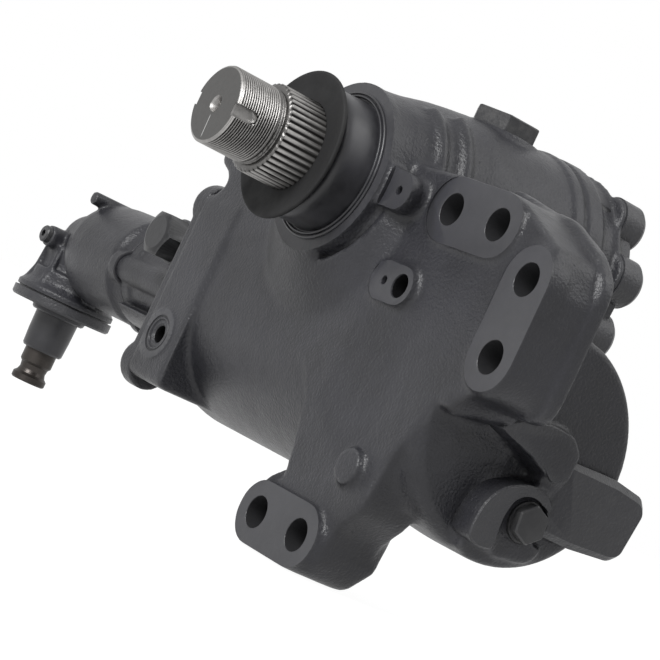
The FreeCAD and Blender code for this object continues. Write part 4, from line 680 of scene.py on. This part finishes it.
def casting_stock():
    """Stock that the machining takes off again, and forms to be blended into the skin."""
    flange = [(PISTON_Y - 75, PISTON_Z - 67), (PISTON_Y + 75, PISTON_Z - 67),
              (PISTON_Y + 75, PISTON_Z + 67), (PISTON_Y - 75, PISTON_Z + 67)]
    stock = [lathe("Y", (0, 0), [(BOSS_FACE - 2.5, 0), (BOSS_FACE - 2.5, BOSS_R + 0.6),
                                 (BOSS_FACE + 5, BOSS_R + 0.6), (BOSS_FACE + 5, 0)]),
             prism("X", rounded(flange, 9), VALVE_FACE - 2, VALVE_FACE + 3)]
    stock += tower_stock() + dome_stock()
    for place in on_circle(COVER_LOBE_CIRCLE):
        stock.append(rod("Y", place, 16.0, COVER_FACE - 3, COVER_FACE + 2, 32))
    for pad in PADS:
        stock.append(prism("Y", stadium(*pad, PAD_R - 0.2), -2.2, 8))
    stock += [prism("Y", stadium((50, 0), EAR_HOLE, 12.4), -17.5, -9),
              prism("Y", stadium((78.1, -53.0), SIDE_PORT, 12.4), -5.4, 2),
              rod("Y", FLANGE_PORT, 16.3, -6.4, 0)]
    strip = [(150, 24.2), (168.6, 22.4), (203, 8.5), (218, -3.6), (221.9, -12), (222.2, -28), (222.2, -82),
             (218, -92), (208, -95.4), (170, -95.4), (170, -80), (205, -80), (210, -60), (210, -20), (190, 5)]
    stock.append(prism("Y", rounded(strip, 5), 35.6, 44.6))
    stock += beads([(155.8, 14.4, -148), (153.2, 21.5, -157), (150, 31.4, -166)], 4.6)
    return stock + beads([(176.6, 10.9, -105.5), (181.2, 24.6, -101.4), (187.6, 39.8, -97.2)], 4.6)


SOFT_PLACES = [
    ((62, 4, 22), (20, 8, 10), 0.5),
    ((154, 21, -157), (11, 16, 16), 0.55),
    ((182, 24, -101), (11, 22, 9), 0.5),
    ((168, 28, -115), (12, 30, 16), 0.5),
    ((172, 52, -124), (12, 16, 16), 0.5),
    ((60, 4, -60), (14, 16, 40), 0.3),
    ((0, 4, -66), (70, 12, 20), 0.3),
    ((130, 40, -195), (40, 40, 40), 0.3),
    ((150, 20, 20), (40, 20, 14), 0.3),
    ((-118, -3, -115), (14, 7, 62), 0.05),
    ((0, 134, 0), (110, 22, 110), 0.03),
    ((205, 40, -40), (30, 9, 75), 0.04),
]


def face_cuts():
    """Planes that the machining leaves: boss, valve face, cover face, pads, ear and the two ports."""
    faces = [lathe("Y", (0, 0), [(BOSS_FACE - 12, 0), (BOSS_FACE - 12, 61), (BOSS_FACE, 61), (BOSS_FACE, 0)]),
             prism("X", [(-20, -200), (170, -200), (170, -20), (-20, -20)], VALVE_FACE - 8, VALVE_FACE),
             rod("Y", (0, 0), 90, COVER_FACE, COVER_FACE + 12)]
    for pad in PADS:
        faces.append(prism("Y", stadium(*pad, PAD_R + 0.6), -12, 0))
    ear = []
    for x, z in stadium((50, -0.5), EAR_HOLE, 13.4):
        push = max(1.0, (BOSS_R + 2.6) / math.hypot(x, z))
        ear.append((push * x, push * z))
    return faces + [prism("Y", ear, -26, EAR_LEVEL),
                    prism("Y", stadium((78.1, -53.0), SIDE_PORT, 14.0), -16, SIDE_PORT_LEVEL),
                    rod("Y", FLANGE_PORT, 17.6, -16, FLANGE_PORT_LEVEL)]


def piston_bore():
    return lathe("X", (PISTON_Y, PISTON_Z), [(VALVE_FACE - 9, 0), (VALVE_FACE - 9, BORE_R),
                                             (BORE_END, BORE_R), (BORE_END, 0)], 128)


def shaft_bore():
    return lathe("Y", (0, 0), [
        (BOSS_FACE - 1, 0), (BOSS_FACE - 1, SEAL_BORE_R + 1.2), (BOSS_FACE + 0.9, SEAL_BORE_R),
        (BOSS_FACE + 13, SEAL_BORE_R), (BOSS_FACE + 13, JOURNAL_R + 2), (BOSS_FACE + 16, JOURNAL_R + 2),
        (BOSS_FACE + 16, JOURNAL_R + 6), (42, JOURNAL_R + 6), (42, CHAMBER_R), (COVER_FACE + 1, CHAMBER_R),
        (COVER_FACE + 1, 0)], 128)


def casting_holes():
    holes = []
    for pad in PADS:
        for hole in pad:
            holes.append(lathe("Y", hole, [(-2, 0), (-2, MOUNT_HOLE_R + 2.3), (0.3, MOUNT_HOLE_R),
                                           (PLATE_BACK + 1, MOUNT_HOLE_R), (PLATE_BACK + 1, PAD_R - 3),
                                           (PLATE_BACK + 14, PAD_R - 3), (PLATE_BACK + 14, 0)]))
    for place in on_circle(COVER_BOLT_CIRCLE):
        holes.append(rod("Y", place, 5.1, COVER_FACE - 22.5, COVER_FACE + 1, 32))
    for place in valve_bolts():
        holes.append(rod("X", place, 8.1, VALVE_FACE - 1, VALVE_FACE + 36, 32))
    flange_port = [(-7, 0), (-7, 13.0), (-4.4, 13.0), (-4.1, 11.6), (-4.5, 11.2), (-4.5, 10.4), (-3.6, 9.8),
                   (-3.6, 7.4), (-2.4, 6.1), (12, 6.1), (12, 0)]
    stop_seat = [(BORE_END - 1, 0), (BORE_END - 1, 7.1), (180.6, 7.1), (180.6, 13.4), (200, 13.4), (200, 0)]
    return holes + [lathe("Y", SIDE_PORT, [(-6, 0), (-6, 9.0), (-2.4, 7.3), (14, 7.3), (14, 0)]),
                    lathe("Y", SIDE_DIMPLE, [(-6, 0), (-6, 4.2), (-2.6, 2.5), (6, 2.5), (6, 0)], 32),
                    lathe("Y", EAR_HOLE, [(-18, 0), (-18, 4.6), (-14.6, 2.6), (-8, 2.6), (-8, 0)], 32),
                    lathe("Y", FLANGE_PORT, flange_port),
                    lathe("Z", TOP_PLUG, [(45, 0), (45, 13.1), (69, 13.1), (69, 25.6), (84, 25.6), (84, 0)]),
                    lathe("X", STOP_BOLT, stop_seat)]


def paint_machined_faces(mesh):
    """Second slot on the machined planes, third slot inside the holes of the front, painted near black as
    shade.
    """
    mesh.materials.append(MACHINED_PAINT)
    mesh.materials.append(HOLE_SHADE_PAINT)
    holes = [(x * MM, z * MM) for x, z in [hole for pad in PADS for hole in pad] + [SIDE_PORT, FLANGE_PORT]]
    planes = (0, BOSS_FACE, EAR_LEVEL, SIDE_PORT_LEVEL, FLANGE_PORT_LEVEL, COVER_FACE)
    levels = [plane * MM for plane in planes]
    near, level_with = 0.00003, 0.9995
    for face in mesh.polygons:
        centre, normal = face.center, face.normal
        in_front = abs(normal.y) > level_with and min(abs(centre.y - level) for level in levels) < near
        on_valve_face = normal.x < -level_with and abs(centre.x - VALVE_FACE * MM) < near
        face.material_index = 1 if in_front or on_valve_face else 0
        if 0.0004 < centre.y < 0.0416 and abs(normal.y) < 0.2:
            if min(math.hypot(centre.x - x, centre.z - z) for x, z in holes) < 0.01035:
                face.material_index = 2


def make_casting():
    casting = new_object("gear_casting", make_mesh("gear_casting", bore_fills(), ["gear_housing"]))
    remesh(casting, VOXEL)
    for cutter in rough_cuts():
        boolean(casting, [cutter])
    blend = make_mesh("blend", casting_stock(), (), [casting.data])
    spent = casting.data
    casting.data = blend
    bpy.data.meshes.remove(spent)
    remesh(casting, VOXEL)
    relax(casting, soft_spots(0.12, SOFT_PLACES), 30)

    boolean(casting, face_cuts())
    boolean(casting, [crisp("X", D_PAD, 164, 187.6, 0.9)], "UNION")
    boolean(casting, [crisp("X", WALL, 160, 186.8, 1.0)], "UNION")
    bar = [(163, rounded(BAR_LOW, 3)), (181.4, rounded(BAR_LOW, 3)), (185.2, rounded(BAR_TOP, 3))]
    boolean(casting, [lofted("X", bar)], "UNION")
    boolean(casting, [piston_bore()])
    boolean(casting, [shaft_bore()])
    boolean(casting, casting_holes())
    shade(casting)
    dress(casting, "housing", "black_paint", "gear_housing")
    paint_machined_faces(casting.data)
    return casting


casting = make_casting()
print("casting faces", len(casting.data.polygons))


# Output shaft end with its real thread

def helix_body(start, end, steps=120):
    """Closed body with a helical thread; its rows follow the helix."""
    shape = [(0.0, THREAD_R), (0.12, THREAD_R),
             (0.5, THREAD_R - THREAD_DEPTH), (0.62, THREAD_R - THREAD_DEPTH)]
    rows_per_turn = len(shape)
    turns = int((end - start) / THREAD_PITCH) + 2
    verts, index = [], {}
    for j in range(steps):
        rows = turns * rows_per_turn + (rows_per_turn if j == 0 else 0)
        turn = 2 * math.pi * j / steps
        for k in range(rows + 1):
            part, radius = shape[k % rows_per_turn]
            y = start + (k // rows_per_turn + part + j / steps) * THREAD_PITCH - THREAD_PITCH
            index[k, j] = len(verts)
            verts.append((radius * math.cos(turn), y, radius * math.sin(turn)))
    last = turns * rows_per_turn
    faces = []
    for k in range(last):
        for j in range(steps - 1):
            faces.append((index[k, j], index[k, j + 1], index[k + 1, j + 1], index[k + 1, j]))
        shift = k + rows_per_turn
        faces.append((index[k, steps - 1], index[shift, 0], index[shift + 1, 0], index[k + 1, steps - 1]))
    low = [index[0, j] for j in range(steps)] + [index[k, 0] for k in range(rows_per_turn, 0, -1)]
    high = [index[last, j] for j in range(steps)] + [index[last + k, 0] for k in range(rows_per_turn, 0, -1)]
    for loop, y in ((low, start - 2 * THREAD_PITCH), (high, end + 3 * THREAD_PITCH)):
        middle = len(verts)
        verts.append((0, y, 0))
        for k in range(len(loop)):
            faces.append((loop[k], loop[(k + 1) % len(loop)], middle))
    return verts, faces


def lock_slots():
    """Two round-ended slots for the nut's lock, and the centre hole of the end face."""
    flat, out = THREAD_R - 4.4, THREAD_R + 4
    outline = stadium((SHAFT_TIP - 8, 0), (SHAFT_TIP + 12.4, 0), 4.1, 12)
    return [prism("X", outline, flat, out), prism("X", outline, -out, -flat),
            lathe("Y", (0, 0), [(SHAFT_TIP - 1, 0), (SHAFT_TIP - 1, 6.6), (SHAFT_TIP + 4.4, 2),
                                (SHAFT_TIP + 9, 2), (SHAFT_TIP + 10, 0)], 48)]


def serration_valleys():
    """Valleys that widen those of the CAD solid."""
    grooves = []
    pitch = 2 * math.pi / SERRATIONS
    for k in range(SERRATIONS):
        turn = pitch / 4 + k * pitch
        points = []
        for radius, side in ((SERRATION_ROOT_R, 0.0), (29.9, -1.0), (29.9, 1.0)):
            spread = side * 0.365 * pitch * (radius - SERRATION_ROOT_R) / 1.65
            points.append((radius * math.cos(turn + spread), radius * math.sin(turn + spread)))
        grooves.append(prism("Y", points, -82.5, -50.4))
    return grooves


def make_shaft():
    thread = new_object("thread", make_mesh("thread", [helix_body(SHAFT_TIP, THREAD_STOP)]))
    envelope = [(SHAFT_TIP, 0), (SHAFT_TIP, THREAD_R - 2.0), (SHAFT_TIP + 1.6, THREAD_R + 0.4),
                (THREAD_STOP - 4.6, THREAD_R + 0.4), (THREAD_STOP - 3.8, THREAD_R - 0.6),
                (THREAD_STOP + 0.1, THREAD_R - 0.4), (THREAD_STOP + 0.1, 0)]
    boolean(thread, [lathe("Y", (0, 0), envelope, 120)], "INTERSECT")
    boolean(thread, lock_slots())
    shaft = new_object("output_shaft", make_mesh("output_shaft", [], ["sector_shaft"]))
    boolean(shaft, [prism("Y", [(-40, -40), (40, -40), (40, 40), (-40, 40)], SHAFT_TIP - 10, THREAD_STOP)])
    boolean(shaft, serration_valleys())
    step = shaft.modifiers.new("join", "BOOLEAN")
    step.solver = "MANIFOLD"
    step.operation = "UNION"
    step.object = thread
    bake_modifiers(shaft)
    spent = thread.data
    bpy.data.objects.remove(thread)
    bpy.data.meshes.remove(spent)
    shade(shaft, 28)
    dress(shaft, "sector", "bare_steel", "sector_shaft")
    shaft.data.materials[0] = SHAFT_STEEL
    return shaft


shaft = make_shaft()
print("shaft faces", len(shaft.data.polygons))


def eased(profile, rounds=3):
    """Closed profile with its corners cut; a third value of 1 keeps a corner sharp."""
    points = [(p[0], p[1], p[2] if len(p) > 2 else 0) for p in profile]
    for _ in range(rounds):
        finer = []
        count = len(points)
        for k in range(count):
            y, r, keep = points[k]
            yb, rb, _ = points[k - 1]
            ya, ra, _ = points[(k + 1) % count]
            if keep:
                finer.append((y, r, 1))
            else:
                finer.append((y * 0.75 + yb * 0.25, r * 0.75 + rb * 0.25, 0))
                finer.append((y * 0.75 + ya * 0.25, r * 0.75 + ra * 0.25, 0))
        points = finer
    return [(y, r) for y, r, _ in points]


def make_boot():
    """Rubber dust seal: flared lip, waist and a wide skirt with two fine ribs at its foot."""
    face = BOSS_FACE - 0.3
    profile = [(face, 49.2, 1), (face - 0.9, 49.2), (face - 1.5, 48.6), (face - 1.5, 47.8),
               (face - 0.3, 47.6), (face - 0.3, 46.9), (face - 2.0, 46.7), (face - 2.4, 46.0),
               (face - 2.0, 45.4), (face - 0.3, 45.2), (face - 0.3, 43.9), (face - 5, 43.7),
               (face - 14, 43.5), (face - 22, 43.2), (face - 25, 41.6), (face - 26.6, 39.0),
               (face - 28.2, 39.4), (face - 29.8, 43.8), (face - 30.4, 47.6), (face - 31.2, 48.9),
               (face - 32.8, 49.0), (face - 33.8, 47.8), (face - 33.0, 44.4), (face - 31.4, 38),
               (face - 30.9, 29.6, 1), (face - 29.0, 29.6, 1), (face - 27.6, 34.5), (face - 24, 38),
               (face - 20, 40.8), (face - 16, 41.4), (face, 41.4, 1)]
    boot = new_object("dust_boot", make_mesh("dust_boot", [lathe("Y", (0, 0), eased(profile), 160)]))
    shade(boot, 40)
    dress(boot, "housing", "black_rubber", "dust_seal")


make_boot()


def make_soft_copy(node, name, voxel, weight, rounds, stock=()):
    """Copy of a cast node with blended corners; its bores keep their shape."""
    piece = new_object(name, make_mesh(name, list(stock), [node]))
    remesh(piece, voxel)
    relax(piece, weight, rounds)
    shade(piece)
    dress(piece, "housing", "black_paint", node)
    print(name, "faces", len(piece.data.polygons))
    return piece


def valve_weight(points):
    reach = np.hypot(points[:, 1] - PISTON_Y, points[:, 2] - PISTON_Z)
    share = np.where(reach < 30.5, 0.0, 0.22)
    return np.where(points[:, 0] > -167, 0.05, share) * (points[:, 0] < -153.6) * (points[:, 0] > -285.5)


def mitre_weight(points):
    along = np.hypot(points[:, 1] - PISTON_Y, points[:, 2] - PISTON_Z)
    down = np.hypot(points[:, 0] - MITRE_X, points[:, 1] - PISTON_Y)
    bored = ((along < 26) & (points[:, 0] > -410)) | ((down < 26) & (points[:, 2] < -108))
    share = np.where(bored, 0.0, 0.3)
    return np.where((points[:, 2] < -150.2) | (points[:, 0] > -289.2), 0.0, share)


make_soft_copy("valve_housing", "valve_body", FINE_VOXEL, valve_weight, 14)
mitre_axis = (MITRE_X, PISTON_Y)
make_soft_copy("mitre_housing", "mitre_body", FINE_VOXEL, mitre_weight, 14, [
    swept("Z", mitre_axis, [(-148.8, 27), (-148.8, 33.4), (-134.8, 33.4), (-134.8, 27)], -104, -28),
    swept("Z", mitre_axis, [(-134, 20), (-134, 27.5), (-120, 30.0), (-113, 27), (-113, 20)], -120, -20)])


def hexagon(centre, radius, first_deg, steps):
    """Six-sided outline with eased corners."""
    corners = []
    for k in range(6):
        turn = math.radians(first_deg + 60 * k)
        corners.append((centre[0] + radius * math.cos(turn), centre[1] + radius * math.sin(turn)))
    return rounded(corners, 1.2, steps)


def make_stop_bolt():
    """Large hexagon head over its washer in the horseshoe seat."""
    stations = [(182.65, 12.3), (187.9, 12.3), (189.0, 11.4), (189.2, 10.9)]
    head = lofted("X", [(station, hexagon(STOP_BOLT, radius, 37, 5)) for station, radius in stations])
    shank = rod("X", STOP_BOLT, 6.9, BORE_END + 2, 183.0, 32)
    bolt = new_object("stop_bolt", make_mesh("stop_bolt", [head]))
    boolean(bolt, [shank], "UNION")
    shade(bolt, 25)
    dress(bolt, "housing", "black_paint_fastener", "stop_screw")


make_stop_bolt()


def make_top_plug():
    """Hexagon plug of the tower, one corner of its head towards the front."""
    stations = [(69.05, 24.0), (78.9, 24.0), (79.6, 23.3), (79.8, 22.6)]
    head = lofted("Z", [(station, hexagon(TOP_PLUG, radius, -33.8, 4)) for station, radius in stations])
    plug = new_object("hex_plug", make_mesh("hex_plug", [head]))
    boolean(plug, [rod("Z", TOP_PLUG, 13.0, 47, 72)], "UNION")
    shade(plug, 25)
    dress(plug, "housing", "black_paint_fastener", "top_plug")


make_top_plug()


# Stage
make_camera()
floor_mesh = bpy.data.meshes.new("floor")
floor_mesh.from_pydata([(-6, -6, 0), (6, -6, 0), (6, 6, 0), (-6, 6, 0)], [], [(0, 1, 2, 3)])
floor = bpy.data.objects.new("floor", floor_mesh)
floor.location = (0, 0, CAD_BOX[0][2] - 0.001)
SCENE.collection.objects.link(floor)
paper = Nodes("paper")
paper_mix = paper.mix(paper.ramp(paper.noise(3.0), 0.3, 0.7), (0.75, 0.75, 0.75, 1), (0.78, 0.78, 0.78, 1))
floor_mesh.materials.append(paper.finish(paper_mix, 0.8))
paper.shader.inputs["Specular IOR Level"].default_value = 0.1
glow = paper.add("ShaderNodeEmission", [("Color", (1, 1, 1, 1)), ("Strength", 1.21)])
sight = paper.add("ShaderNodeLightPath")
mirrored = paper.maths("MAXIMUM", sight.outputs["Is Glossy Ray"], sight.outputs["Is Transmission Ray"])
seen = paper.maths("MAXIMUM", sight.outputs["Is Camera Ray"], paper.maths("MULTIPLY", mirrored, 0.8))
veil = paper.add("ShaderNodeMixShader", [(0, paper.maths("MULTIPLY", seen, 0.8)),
                                         (1, paper.shader.outputs[0]), (2, glow.outputs[0])])
paper.tree.links.new(veil.outputs[0], paper.tree.nodes["Material Output"].inputs[0])

world = bpy.data.worlds.new("world")
SCENE.world = world
world.use_nodes = True
tree = world.node_tree
back = tree.nodes["Background"]
back.inputs[0].default_value = (1, 1, 1, 1)
path = tree.nodes.new("ShaderNodeLightPath")
shiny = tree.nodes.new("ShaderNodeMath")
shiny.operation = "MAXIMUM"
tree.links.new(path.outputs["Is Glossy Ray"], shiny.inputs[0])
tree.links.new(path.outputs["Is Transmission Ray"], shiny.inputs[1])
level = tree.nodes.new("ShaderNodeMapRange")
level.inputs[3].default_value = 0.2
level.inputs[4].default_value = 0.8
tree.links.new(shiny.outputs[0], level.inputs[0])
top = tree.nodes.new("ShaderNodeMath")
top.operation = "MAXIMUM"
tree.links.new(level.outputs[0], top.inputs[0])
tree.links.new(path.outputs["Is Camera Ray"], top.inputs[1])
tree.links.new(top.outputs[0], back.inputs[1])

area_light("key", (0.55, -1.85, 1.3), (0.0, 0.0, -0.1), 1.1, 64)
area_light("side", (-1.6, -1.1, 0.15), (0.0, 0.0, -0.1), 1.2, 0.7)
area_light("over", (0.8, 1.1, 1.5), (0.0, 0.0, 0.0), 1.4, 11)
